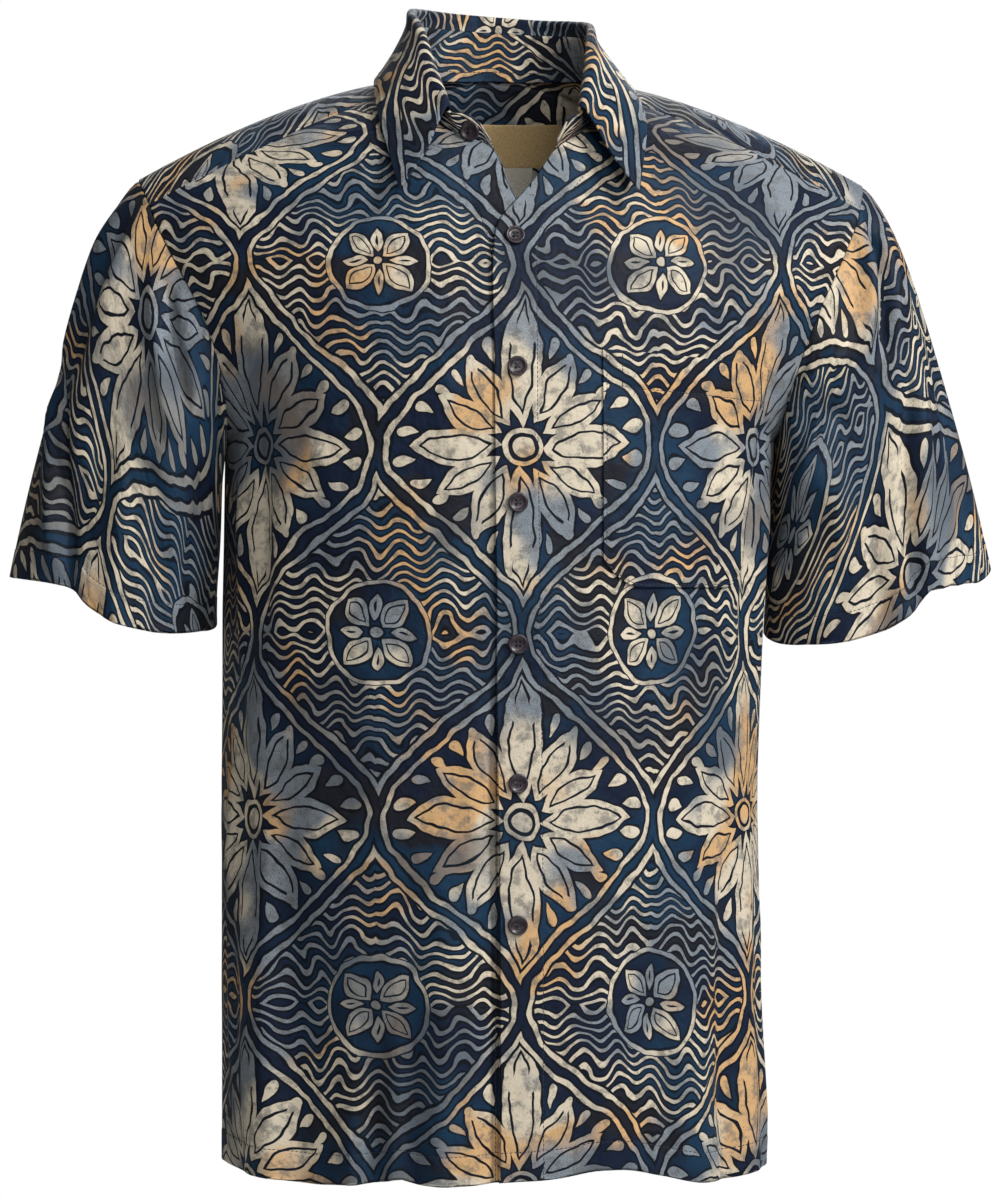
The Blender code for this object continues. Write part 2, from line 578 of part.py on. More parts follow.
def stand_patch(seam, places):
    """Raise the collar stand from the neck seam towards the roll line, with a lower, rounded end."""
    grid = np.zeros((STAND_ROWS, len(seam), 3))
    for c, (side, place) in enumerate(places):
        roll = collar_row(side, place)[0]
        top = seam[c] + (roll - seam[c]) * STAND_SHARE
        if place > 1.0:
            top = seam[c] + np.array([side * STAND_END[0], STAND_END[1], STAND_END[2]])
        for r in range(STAND_ROWS):
            grid[r, c] = seam[c] + (top - seam[c]) * r / (STAND_ROWS - 1)
    return Patch(grid, 1, ("bottom", "top"))


def leaf_patch(seam, places):
    """Turn the collar leaf over its roll line and let it fall to its outer edge."""
    profile = []
    for bottom, (side, place) in zip(seam[1:-1], places[1:-1]):
        roll, edge, bow = collar_row(side, place)
        foot = bottom + (roll - bottom) * STAND_SHARE
        fall = edge - roll
        flat = np.array([fall[0], fall[1], 0.0])
        flat = flat / np.linalg.norm(flat)
        upward = np.array([0.0, 0.0, 1.0])
        widen = np.array([side * WIDEN_TOWARDS[0], WIDEN_TOWARDS[1], WIDEN_TOWARDS[2]])
        widen = widen * float(ease(between(place, WIDEN_FROM, 1.0)))
        line = [foot, foot + (roll - foot) * LEAF_FOOT, roll + widen * WIDEN_ROLL]
        for point in LEAF_PROFILE:
            out = flat * (point.out + bow * point.bow) + widen * point.widen
            line.append(roll + fall * point.fall + out + upward * point.up)
        profile.append(line)
    return Patch(np.array(profile).transpose(1, 0, 2), 1, ("bottom",), COLLAR_GAP)


def on_grid(grid, row, column):
    """Read a grid's smooth surface between its points."""
    def weights(place, count):
        index = int(np.clip(math.floor(place), 0, count - 2))
        t = place - index
        shares = (-0.5 * t + t * t - 0.5 * t ** 3, 1.0 - 2.5 * t * t + 1.5 * t ** 3,
                  0.5 * t + 2.0 * t * t - 1.5 * t ** 3, -0.5 * t * t + 0.5 * t ** 3)
        return [(min(max(index + k - 1, 0), count - 1), share) for k, share in enumerate(shares)]
    point = np.zeros(3)
    for r, row_share in weights(row, grid.shape[0]):
        for c, column_share in weights(column, grid.shape[1]):
            point = point + grid[r, c] * row_share * column_share
    return point


def place_on(grid, x, z, start=None):
    """Find the row and column of a grid where its surface has the given x and z, near a first guess."""
    row, column = start or (grid.shape[0] / 2, grid.shape[1] / 2)
    for _ in range(25):
        here = on_grid(grid, row, column)
        right = on_grid(grid, row, column + 0.1) - here
        above = on_grid(grid, row + 0.1, column) - here
        matrix = np.array([[right[0], above[0]], [right[2], above[2]]]) * 10.0
        step = np.linalg.solve(matrix, np.array([x - here[0], z - here[2]]))
        column = float(np.clip(column + step[0], 0.0, grid.shape[1] - 1.2))
        row = float(np.clip(row + step[1], 0.0, grid.shape[0] - 1.2))
    return row, column


def pocket_faces(patch):
    """Lay the chest pocket on the left front, on the front's own surface moved outwards."""
    grid, normal = patch.grid, patch.normal
    outer, inner = [], []
    columns = np.linspace(0.0, 1.0, POCKET_CELLS[0] + 1)
    for level in np.linspace(0.0, 1.0, POCKET_CELLS[1] + 1):
        outer.append([])
        inner.append([])
        for share in columns:
            right = POCKET_RIGHT_BOTTOM + (POCKET_RIGHT_TOP - POCKET_RIGHT_BOTTOM) * level
            x = POCKET_LEFT + (right - POCKET_LEFT) * (1.0 - (1.0 - share) ** POCKET_SPREAD)
            corner = max(0.0, 1.0 - min(share, 1.0 - share) / POCKET_CORNER_SHARE) ** 2
            low = POCKET_BOTTOM + POCKET_CORNER * corner
            z = low + (POCKET_TOP - POCKET_SLOPE * share - low) * level
            row, column = place_on(grid, x, z)
            point = on_grid(grid, row, column)
            outward = on_grid(normal, row, column)
            outward = outward / np.linalg.norm(outward)
            inner[-1].append(point + outward * POCKET_LIFT)
            outer[-1].append(point + outward * (POCKET_LIFT + CLOTH))
    return np.array(outer), np.array(inner)


def label_faces(yoke, width, top, bottom):
    """Lay a label inside the yoke, on the yoke's own surface moved inwards."""
    outer, inner = [], []
    for z in np.linspace(bottom, top, LABEL_CELLS[1] + 1):
        outer.append([])
        inner.append([])
        for x in np.linspace(LABEL_CENTRE - width / 2, LABEL_CENTRE + width / 2, LABEL_CELLS[0] + 1):
            row, column = place_on(yoke.grid, abs(x), z, LABEL_START)
            point = on_grid(yoke.grid, row, column)
            outward = on_grid(yoke.normal, row, column)
            outward = outward / np.linalg.norm(outward)
            mirror = np.array([math.copysign(1.0, x), 1.0, 1.0])
            outer[-1].append((point - outward * (CLOTH + LABEL_LIFT)) * mirror)
            inner[-1].append((point - outward * (CLOTH + LABEL_LIFT + LABEL_THICKNESS)) * mirror)
    return np.array(outer), np.array(inner)


def button(name, place, outward, collections):
    """Turn a four-hole button with a raised rim and set it on the cloth, facing outwards."""
    mesh = bpy.data.meshes.new(name)
    edit = bmesh.new()
    points = [edit.verts.new((r * BUTTON_RADIUS, 0.0, h * BUTTON_THICKNESS)) for r, h in BUTTON_PROFILE]
    for start, finish in zip(points, points[1:]):
        edit.edges.new((start, finish))
    edit.to_mesh(mesh)
    edit.free()
    made = bpy.data.objects.new(name, mesh)
    collections["batik_shirt"].objects.link(made)
    turn = made.modifiers.new("Turn", "SCREW")
    turn.steps = BUTTON_SIDES
    turn.render_steps = BUTTON_SIDES
    turn.use_merge_vertices = True
    turn.merge_threshold = 0.00001
    hole_mesh = bpy.data.meshes.new(name + "_holes")
    edit = bmesh.new()
    for x in (-1, 1):
        for y in (-1, 1):
            centre = Matrix.Translation((x * BUTTON_HOLE_SPREAD, y * BUTTON_HOLE_SPREAD, BUTTON_THICKNESS / 2))
            bmesh.ops.create_cone(edit, cap_ends=True, segments=HOLE_SIDES, radius1=BUTTON_HOLE_RADIUS,
                                  radius2=BUTTON_HOLE_RADIUS, depth=BUTTON_THICKNESS * 3, matrix=centre)
    edit.to_mesh(hole_mesh)
    edit.free()
    holes = bpy.data.objects.new(name + "_holes", hole_mesh)
    holes.hide_render = True
    holes.display_type = "WIRE"
    collections["cutters"].objects.link(holes)
    cut = made.modifiers.new("Holes", "BOOLEAN")
    cut.operation = "DIFFERENCE"
    cut.object = holes
    made.data.materials.append(material("button"))
    facing = Vector(outward).to_track_quat("Z", "Y").to_matrix().to_4x4()
    matrix = Matrix.Translation(Vector(place)) @ facing
    made.matrix_world = matrix
    holes.matrix_world = matrix
    return made


def button_seat(patch, row, column):
    """Give the point and direction where a button lies on a patch, clear of it by the seam gap."""
    point = on_grid(patch.grid, row, column)
    outward = on_grid(patch.normal, row, column)
    outward = outward / np.linalg.norm(outward)
    return point + outward * SEAM_GAP, outward


collections = start_clean()
shirt = collections["batik_shirt"]
patches = body_patches()
sleeves = {cuff.name: sleeve_patch(patches, cuff) for cuff in CUFFS}
seam, middle = neck_seam(patches)
places = collar_places(seam, middle)
stand = stand_patch(seam, places)
leaf = leaf_patch(seam, places)
share_seams(list(patches.values()) + list(sleeves.values()) + [stand, leaf])

sewn("front_left", [patches["front", 1].walls()], "cloth", shirt)
sewn("front_right", [patches["front", -1].walls()], "cloth", shirt)
sewn("back", [patches["back", 1].walls(), patches["back", -1].walls()], "cloth", shirt)
sewn("yoke", [patches["yoke", 1].walls(), patches["yoke", -1].walls()], "cloth", shirt)
for sleeve_name, sleeve in sleeves.items():
    sewn(sleeve_name, [sleeve.walls()], "cloth", shirt)
sewn("collar_stand", [stand.walls()], "cloth", shirt)
sewn("collar_leaf", [leaf.walls()], "cloth", shirt)
sewn("pocket", [pocket_faces(patches["front", 1])], "cloth", shirt)
left_yoke = patches["yoke", 1]
sewn("neck_label", [label_faces(left_yoke, LABEL_WIDTH, LABEL_TOP, LABEL_BOTTOM)], "label", shirt)
sewn("care_tab", [label_faces(left_yoke, TAB_WIDTH, LABEL_BOTTOM - SEAM_GAP, TAB_BOTTOM)], "tab", shirt)
for number, height in enumerate(BUTTON_HEIGHTS, start=1):
    over_front = patches["front", 1]
    seat, facing_out = button_seat(over_front, *place_on(over_front.grid, BUTTON_X, height))
    button(f"button_{number}", seat, facing_out, collections)
seat, facing_out = button_seat(stand, STAND_BUTTON_ROW, len(seam) - 1 - STAND_BUTTON_POINT)
button("button_stand", seat, facing_out, collections)
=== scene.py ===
"""Short-sleeved batik shirt on no visible wearer, lit softly from the front against white.

Metres, +Z up, the front faces -Y, the wearer's left is +X, and the origin is the base of the neck. Each cloth
piece is a thin shell on the same sections as its solid, with its smaller creases, seams and stitches added.
"""
import math
from collections import namedtuple

import bmesh
import bpy
import numpy as np
from mathutils import Matrix, Vector


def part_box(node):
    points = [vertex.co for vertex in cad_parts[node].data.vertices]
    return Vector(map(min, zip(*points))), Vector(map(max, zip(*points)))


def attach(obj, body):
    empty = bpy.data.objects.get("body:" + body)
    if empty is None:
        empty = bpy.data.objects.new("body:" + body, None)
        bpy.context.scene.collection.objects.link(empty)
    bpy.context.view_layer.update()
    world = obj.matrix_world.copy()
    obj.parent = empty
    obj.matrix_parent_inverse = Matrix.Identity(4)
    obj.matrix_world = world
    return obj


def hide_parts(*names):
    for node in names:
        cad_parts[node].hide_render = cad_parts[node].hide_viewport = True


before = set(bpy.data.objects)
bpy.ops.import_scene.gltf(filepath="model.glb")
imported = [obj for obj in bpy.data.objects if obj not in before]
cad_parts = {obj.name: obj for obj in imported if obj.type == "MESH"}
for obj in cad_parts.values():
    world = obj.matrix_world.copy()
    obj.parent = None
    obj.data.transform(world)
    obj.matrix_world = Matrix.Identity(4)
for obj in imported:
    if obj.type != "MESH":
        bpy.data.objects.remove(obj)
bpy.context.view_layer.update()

# ---------------------------------------------------------------------------------------------------------
# The cloth: light plain-woven cotton, dyed navy and teal round wax-resist lines that stay cream, peach and
# grey-blue. The print is a lattice of pointed cells, petals in one kind and ripples in the other.
# ---------------------------------------------------------------------------------------------------------
CELL_HALF_WIDTH, CELL_HEIGHT = 95.0, 250.0    # millimetres, as all lengths of the print
BORDER_AT, BORDER_HALF = 5.0, 1.6
BORDER_CLEAR = 8.4
OUTLINE = 1.5
DISC_RADIUS, HALO_RADIUS, HALO_HALF = 7.0, 11.5, 1.5
VEIN_DEPTH, VEIN_HALF = 5.2, 0.85
DROPS, DROP_START, DROP_LENGTH = 7, 9.0, 15.0
DROP_SPACING, DROP_SWELL, DROP_THIN = 19.0, 11.5, 0.6
DROP_ROUND_HEIGHT = 0.42      # the share of a cell's height that the drops are spread round by
RIPPLE_SPACING, RIPPLE_HALF, RIPPLE_LENGTH, RIPPLE_HEIGHT = 8.6, 1.4, 27.0, 4.2
RING_RADIUS, RING_HALF, RING_CLEAR = 34.0, 1.4, 36.0
ROSETTE_VEIN, ROSETTE_VEIN_HALF, ROSETTE_MIDDLE = 3.4, 0.6, 3.2
FAR_OUT = 60.0        # further out than anything drawn
Petal = namedtuple("Petal", "angle start end half_width")
PETALS = [Petal(*row) for row in (
    (0, 13, 76, 13.5), (31, 16, 66, 11.0), (60, 17, 70, 11.5), (90, 13, 104, 13.5),
)]
ROSETTE = [Petal(*row) for row in ((45, 5, 30, 7.5), (0, 8, 25, 3.6), (90, 8, 25, 3.6))]
NAVY, TEAL, CHARCOAL = (.0040, .0100, .0290), (.0060, .0300, .0660), (.0105, .0115, .0180)
CREAM, PEACH, GREY_BLUE = (.640, .560, .430), (.610, .375, .175), (.225, .255, .285)
SLATE, STONE, INK = (.090, .110, .135), (.150, .145, .130), (.0020, .0030, .0060)
NAVY_THREAD = (.0120, .0200, .0400)
THREAD_STRETCH = 0.22
CLOTH_THREADS, THREAD_RELIEF, CRUMPLE_RELIEF = 2.4, 0.12, 3.2
CLOTH_RELIEF, CLOTH_RELIEF_SHARE = 0.0012, 0.60
# How the hand-held tool wanders: lumps per millimetre, their detail and shift, and how far it goes.
Wander = namedtuple("Wander", "scale detail shift reach")
WANDERS = [Wander(*row) for row in ((.016, 2.0, 0.0, 12.0), (.07, 1.0, 40.0, 4.2))]
RIPPLE_WANDER, SCALLOP_SHARE = Wander(.022, 1.0, 210.0, 26.0), 0.4
LINE_EDGE = (-.18, .14)       # where a resist line starts and is full
# The clouds of each dye: lumps per millimetre, detail, shift, where the cloud starts and is full, roughness.
Cloud = namedtuple("Cloud", "name scale detail shift low high rough")
CLOUDS = [Cloud(*row) for row in (
    ("teal",     .0105, 2.0, 300.0, .40, .62, .50),
    ("charcoal", .0140, 2.0, 350.0, .55, .68, .50),
    ("peach",    .0125, 1.5, 500.0, .52, .63, .50),
    ("blue",     .0115, 2.0, 640.0, .47, .60, .50),
    ("slate",    .0090, 1.0, 700.0, .56, .70, .50),
    ("mottle",   .0900, 5.0, 800.0, .46, .66, .68),
    ("sand",     1.100, 2.0, 850.0, .46, .60, .70),
    ("specks",   .7500, 1.0, 900.0, .76, .79, .50),
)]


class Field:
    """A number at each point of a surface, worked out by the nodes of a material."""

    tree = None

    def __init__(self, socket):
        self.socket = socket

    def __add__(self, other):
        return worked("ADD", self, other)

    def __radd__(self, other):
        return worked("ADD", other, self)

    def __sub__(self, other):
        return worked("SUBTRACT", self, other)

    def __rsub__(self, other):
        return worked("SUBTRACT", other, self)

    def __mul__(self, other):
        return worked("MULTIPLY", self, other)

    def __rmul__(self, other):
        return worked("MULTIPLY", other, self)

    def __truediv__(self, other):
        return worked("DIVIDE", self, other)


def new_node(kind, **settings):
    """Add a node to the material being made, in rows so that none lies on another."""
    nodes = Field.tree.nodes
    node = nodes.new(kind)
    number = len(nodes)
    node.location = (-200 * (number // 12) - 400, 170 * (number % 12) - 900)
    for name, value in settings.items():
        setattr(node, name, value)
    return node


def plug(socket, value):
    """Give a socket a field, another socket or a constant."""
    if isinstance(value, Field):
        value = value.socket
    if isinstance(value, bpy.types.NodeSocket):
        Field.tree.links.new(value, socket)
    elif isinstance(value, tuple) and socket.type == "RGBA":
        socket.default_value = (*value[:3], 1.0)
    else:
        socket.default_value = value


def worked(operation, *values):
    """Work out a number from others."""
    node = new_node("ShaderNodeMath", operation=operation)
    for socket, value in zip(node.inputs, values):
        plug(socket, value)
    return Field(node.outputs[0])


def largest(first, *others):
    """Keep the largest of several fields."""
    for other in others:
        first = worked("MAXIMUM", first, other)
    return first


def step_up(field, low, high):
    """Rise from 0 to 1 as a field goes from low to high."""
    node = new_node("ShaderNodeMapRange", interpolation_type="SMOOTHSTEP")
    for socket, value in zip(node.inputs, (field, low, high, 0.0, 1.0)):
        plug(socket, value)
    return Field(node.outputs[0])


def mixed(share, first, second):
    """Blend two colours."""
    node = new_node("ShaderNodeMix", data_type="RGBA")
    plug(node.inputs[0], share)
    plug(node.inputs[6], first)
    plug(node.inputs[7], second)
    return node.outputs[2]


def noise(place, scale, detail=2.0, shift=0.0, rough=0.5):
    """Make a cloudy field over a place, with lumps about 1 / scale across."""
    moved = new_node("ShaderNodeMapping")
    plug(moved.inputs["Vector"], place)
    moved.inputs["Location"].default_value = (shift, shift * 0.7, 0.0)
    node = new_node("ShaderNodeTexNoise", noise_dimensions="2D")
    plug(node.inputs["Vector"], moved.outputs[0])
    node.inputs["Scale"].default_value = scale
    node.inputs["Detail"].default_value = detail
    node.inputs["Roughness"].default_value = rough
    return Field(node.outputs[0])


def wandering(value, place, shift):
    """Let a line waver as one drawn by hand does."""
    for wander in WANDERS:
        value = value + (noise(place, wander.scale, wander.detail, wander.shift + shift) - .5) * wander.reach
    return value


def mirrored(value, period):
    """Measure the distance to the nearest of many middles, a period apart."""
    return worked("ABSOLUTE", worked("FLOORED_MODULO", value + period / 2, period) - period / 2)


def radius_of(x, y):
    """Measure the distance from a middle."""
    return worked("SQRT", x * x + y * y)


def band(value, middle, half_width):
    """Tell how far inside a line of a given half width a value lies."""
    return half_width - worked("ABSOLUTE", value - middle)


def petal_field(x, y, petal):
    """Tell how far inside a lens-shaped petal a place lies, and how far outside below zero."""
    angle = math.radians(petal.angle)
    along = x * math.cos(angle) + y * math.sin(angle)
    off = worked("ABSOLUTE", y * math.cos(angle) - x * math.sin(angle))
    share = (along - petal.start) / float(petal.end - petal.start)
    return share * (1.0 - share) * (4.0 * petal.half_width) - off


def new_material(name, roughness, colour=None):
    """Make a material with a plain shader, ready for more nodes."""
    made = bpy.data.materials.new(name)
    made.use_nodes = True
    Field.tree = made.node_tree
    shader = made.node_tree.nodes["Principled BSDF"]
    shader.inputs["Roughness"].default_value = roughness
    if colour:
        shader.inputs["Base Color"].default_value = (*colour, 1.0)
        made.diffuse_color = (*colour, 1.0)
    return made, shader


def bumped(shader, height, distance, strength=1.0):
    """Raise a shader's surface by a field."""
    bump = new_node("ShaderNodeBump")
    bump.inputs["Strength"].default_value = strength
    bump.inputs["Distance"].default_value = distance
    plug(bump.inputs["Height"], height)
    plug(shader.inputs["Normal"], bump.outputs[0])


def print_place():
    """Give each point's place on the flat cloth, in millimetres."""
    where = new_node("ShaderNodeUVMap", uv_map="cloth")
    scaled = new_node("ShaderNodeVectorMath", operation="SCALE")
    plug(scaled.inputs[0], where.outputs[0])
    scaled.inputs["Scale"].default_value = 1000.0
    return scaled.outputs[0]


def thread_group():
    """Build the weave that the cloth and the labels share: threads one way over threads the other way."""
    group = bpy.data.node_groups.new("crossed_threads", "ShaderNodeTree")
    group.interface.new_socket("Place in mm", in_out="INPUT", socket_type="NodeSocketVector")
    group.interface.new_socket("Threads each mm", in_out="INPUT", socket_type="NodeSocketFloat")
    group.interface.new_socket("Height", in_out="OUTPUT", socket_type="NodeSocketFloat")
    Field.tree = group
    given, result = new_node("NodeGroupInput"), new_node("NodeGroupOutput")
    scaled = new_node("ShaderNodeVectorMath", operation="SCALE")
    plug(scaled.inputs[0], given.outputs["Place in mm"])
    plug(scaled.inputs["Scale"], given.outputs["Threads each mm"])
    ways = []
    for stretch in ((1.0, THREAD_STRETCH, 1.0), (THREAD_STRETCH, 1.0, 1.0)):
        one_way = new_node("ShaderNodeVectorMath", operation="MULTIPLY")
        plug(one_way.inputs[0], scaled.outputs[0])
        one_way.inputs[1].default_value = stretch
        ways.append(noise(one_way.outputs[0], 1.0, 1.0))
    plug(result.inputs["Height"], largest(*ways))
    return group


def weave(group, place, threads):
    """Place the weave in the material being made."""
    node = new_node("ShaderNodeGroup", node_tree=group)
    plug(node.inputs["Place in mm"], place)
    node.inputs["Threads each mm"].default_value = threads
    return Field(node.outputs["Height"])


def petalled_cell(cell_x, cell_y, inside):
    """Draw a flower with its veins and its ringed disc, and drops all along the cell's edge."""
    petals = largest(*[petal_field(cell_x, cell_y, petal) for petal in PETALS])
    veins = band(petals, VEIN_DEPTH, VEIN_HALF)
    radius = radius_of(cell_x, cell_y)
    disc = largest(DISC_RADIUS - radius, band(radius, HALO_RADIUS, HALO_HALF))
    round_cell = worked("ARCTAN2", cell_y * (CELL_HALF_WIDTH / (CELL_HEIGHT * DROP_ROUND_HEIGHT)), cell_x)
    round_drop = worked("FRACT", round_cell * (DROPS / (math.pi / 2)))
    across_drop = worked("ABSOLUTE", round_drop - .5) * DROP_SPACING
    down_drop = (inside - DROP_START) / DROP_LENGTH
    drops = worked("SQRT", largest(down_drop, 0.0)) * (1.0 - down_drop) * DROP_SWELL - across_drop - DROP_THIN
    return largest(worked("MINIMUM", petals, -1.0 * veins), disc, drops)


def rippled_cell(place, ripple_x, ripple_y):
    """Draw scalloped ripples, and at the cell's middle a small rosette in a ring."""
    wander = noise(place, *RIPPLE_WANDER[:3]) * RIPPLE_WANDER.reach
    scalloped = (ripple_x + wander * SCALLOP_SHARE) * (2 * math.pi / RIPPLE_LENGTH)
    scallop = worked("SINE", scalloped) * RIPPLE_HEIGHT
    wave = worked("FLOORED_MODULO", ripple_y + scallop + wander, RIPPLE_SPACING)
    ripples = band(wave, RIPPLE_SPACING / 2, RIPPLE_HALF)
    radius = radius_of(ripple_x, ripple_y)
    rosette = largest(*[petal_field(ripple_x, ripple_y, petal) for petal in ROSETTE])
    rosette = worked("MINIMUM", rosette, -1.0 * band(rosette, ROSETTE_VEIN, ROSETTE_VEIN_HALF))
    middle = largest(rosette, band(radius, RING_RADIUS, RING_HALF), ROSETTE_MIDDLE - radius)
    outside_ring = step_up(radius, RING_CLEAR, RING_CLEAR + .2)
    return largest(middle - outside_ring * FAR_OUT, ripples - (1.0 - outside_ring) * FAR_OUT)


def dyed(place, outline):
    """Run the dyes from one colour to the next in clouds: on the ground, and on the resist lines."""
    share = {cloud.name: step_up(noise(place, cloud.scale, cloud.detail, cloud.shift, cloud.rough),
                                 cloud.low, cloud.high) for cloud in CLOUDS}
    ground = mixed(share["charcoal"], mixed(share["teal"], NAVY, TEAL), CHARCOAL)
    ground = mixed(outline * .85, ground, INK)
    resist = mixed(share["blue"], mixed(share["peach"], CREAM, PEACH), GREY_BLUE)
    resist = mixed(share["slate"] * .8, resist, SLATE)
    resist = mixed(share["mottle"] * .62, resist, STONE)
    resist = mixed(share["sand"] * (share["blue"] * .45 + share["mottle"] * .35 + .08), resist, SLATE)
    resist = mixed(share["specks"] * .8, resist, INK)
    return ground, resist


def batik_cloth(crossed_threads):
    """Make the printed cloth's material."""
    made, shader = new_material("batik_cloth", 0.62)
    place = print_place()
    parts = new_node("ShaderNodeSeparateXYZ")
    plug(parts.inputs[0], place)
    cell_x = mirrored(wandering(Field(parts.outputs[0]), place, 0.0), 2 * CELL_HALF_WIDTH)
    cell_y = mirrored(wandering(Field(parts.outputs[1]), place, 90.0), CELL_HEIGHT)
    turn = cell_y * (2 * math.pi / CELL_HEIGHT)
    slant = worked("SINE", turn) * (math.pi * CELL_HALF_WIDTH / CELL_HEIGHT)
    edge = (worked("COSINE", turn) + 1.0) * (CELL_HALF_WIDTH / 2) - cell_x
    inside = edge / worked("SQRT", slant * slant + 1.0)
    depth = worked("ABSOLUTE", inside)
    border = band(depth, BORDER_AT, BORDER_HALF)
    petalled = petalled_cell(cell_x, cell_y, inside)
    rippled = rippled_cell(place, CELL_HALF_WIDTH - cell_x, CELL_HEIGHT / 2 - cell_y)
    petalled_share = step_up(inside, -.2, .2)
    lines = petalled * petalled_share + rippled * (1.0 - petalled_share)
    lines = largest(worked("MINIMUM", lines, worked("MINIMUM", depth - BORDER_CLEAR, FAR_OUT)), border)
    light = step_up(lines, *LINE_EDGE)
    ground, resist = dyed(place, step_up(lines, -OUTLINE - .5, -OUTLINE) * (1.0 - light))
    plug(shader.inputs["Base Color"], mixed(light, ground, resist))
    plug(shader.inputs["Roughness"], .60 + noise(place, .05, 1.0, 77.0) * .08)
    shader.inputs["Sheen Weight"].default_value = 0.02
    shader.inputs["Specular IOR Level"].default_value = 0.16
    crumple = noise(place, .06, 3.0, 60.0)
    threads_height = weave(crossed_threads, place, CLOTH_THREADS) * THREAD_RELIEF
    bumped(shader, threads_height + crumple * CRUMPLE_RELIEF, CLOTH_RELIEF, CLOTH_RELIEF_SHARE)
    made.diffuse_color = (.06, .08, .12, 1.0)
    return made


CROSSED_THREADS = thread_group()
CLOTH_MATERIAL = batik_cloth(CROSSED_THREADS)
THREAD_MATERIAL, thread_shader = new_material("navy_thread", 0.55, NAVY_THREAD)
thread_fuzz = noise(new_node("ShaderNodeTexCoord").outputs["Object"], 900.0, 1.0)
worn_navy = tuple(value * 1.6 for value in NAVY_THREAD)
plug(thread_shader.inputs["Base Color"], mixed(thread_fuzz, INK, worn_navy))

# ---------------------------------------------------------------------------------------------------------
# The two fronts of the batik cloth, each cut in one length from hem to yoke. The left one's edge is turned
# under 30 mm, stitched down and laps over the right one's. Both hems are turned up 20 mm and stitched.
# ---------------------------------------------------------------------------------------------------------
BASE_CLOTH = 0.0008       # thickness of the single cloth
FOLDED_CLOTH = 0.0017     # and where it is turned under and stitched down
SEAM_TURN = 0.0016        # how far the edges turn in at a seam
SEAM_GROOVE = 0.0007
GRID_EDGES = {"bottom": (0, 1, 0), "top": (-1, -2, 0), "inner": (0, 1, 1), "outer": (-1, -2, 1)}
RIM_TURNS = (45, 90, 135)     # degrees round a free edge at which its rim has points
FOLD_RISE, STITCH_PRESS = 0.0003, 0.0004
STITCH_PITCH, STITCH_LENGTH = 0.0031, 0.0023
STITCH_HALF_WIDTH, STITCH_HALF_HEIGHT, STITCH_LIFT = 0.00027, 0.00016, 0.00010
LAP_SINK = 0.0023
LAP_RAMP = (-0.050, -0.024)
LEAN_HEIGHTS = (-0.745, -0.62, -0.48, -0.36, -0.18)
LEANS = (-0.0062, -0.0090, -0.0090, -0.0067, 0.0)
LEAN_REACH = 0.15
SIDE_FADE = 0.035
# Each hem's rise and fall: across, height and half width.
FRONT_HEM_WAVES = ((0.060, 0.0065, 0.028), (-0.050, -0.0030, 0.040), (-0.082, 0.0030, 0.008),
                   (-0.131, -0.0045, 0.030), (-0.196, 0.0035, 0.012), (0.138, -0.0056, 0.030))
HEM_WAVE_HEIGHTS = (-0.60, -0.745)
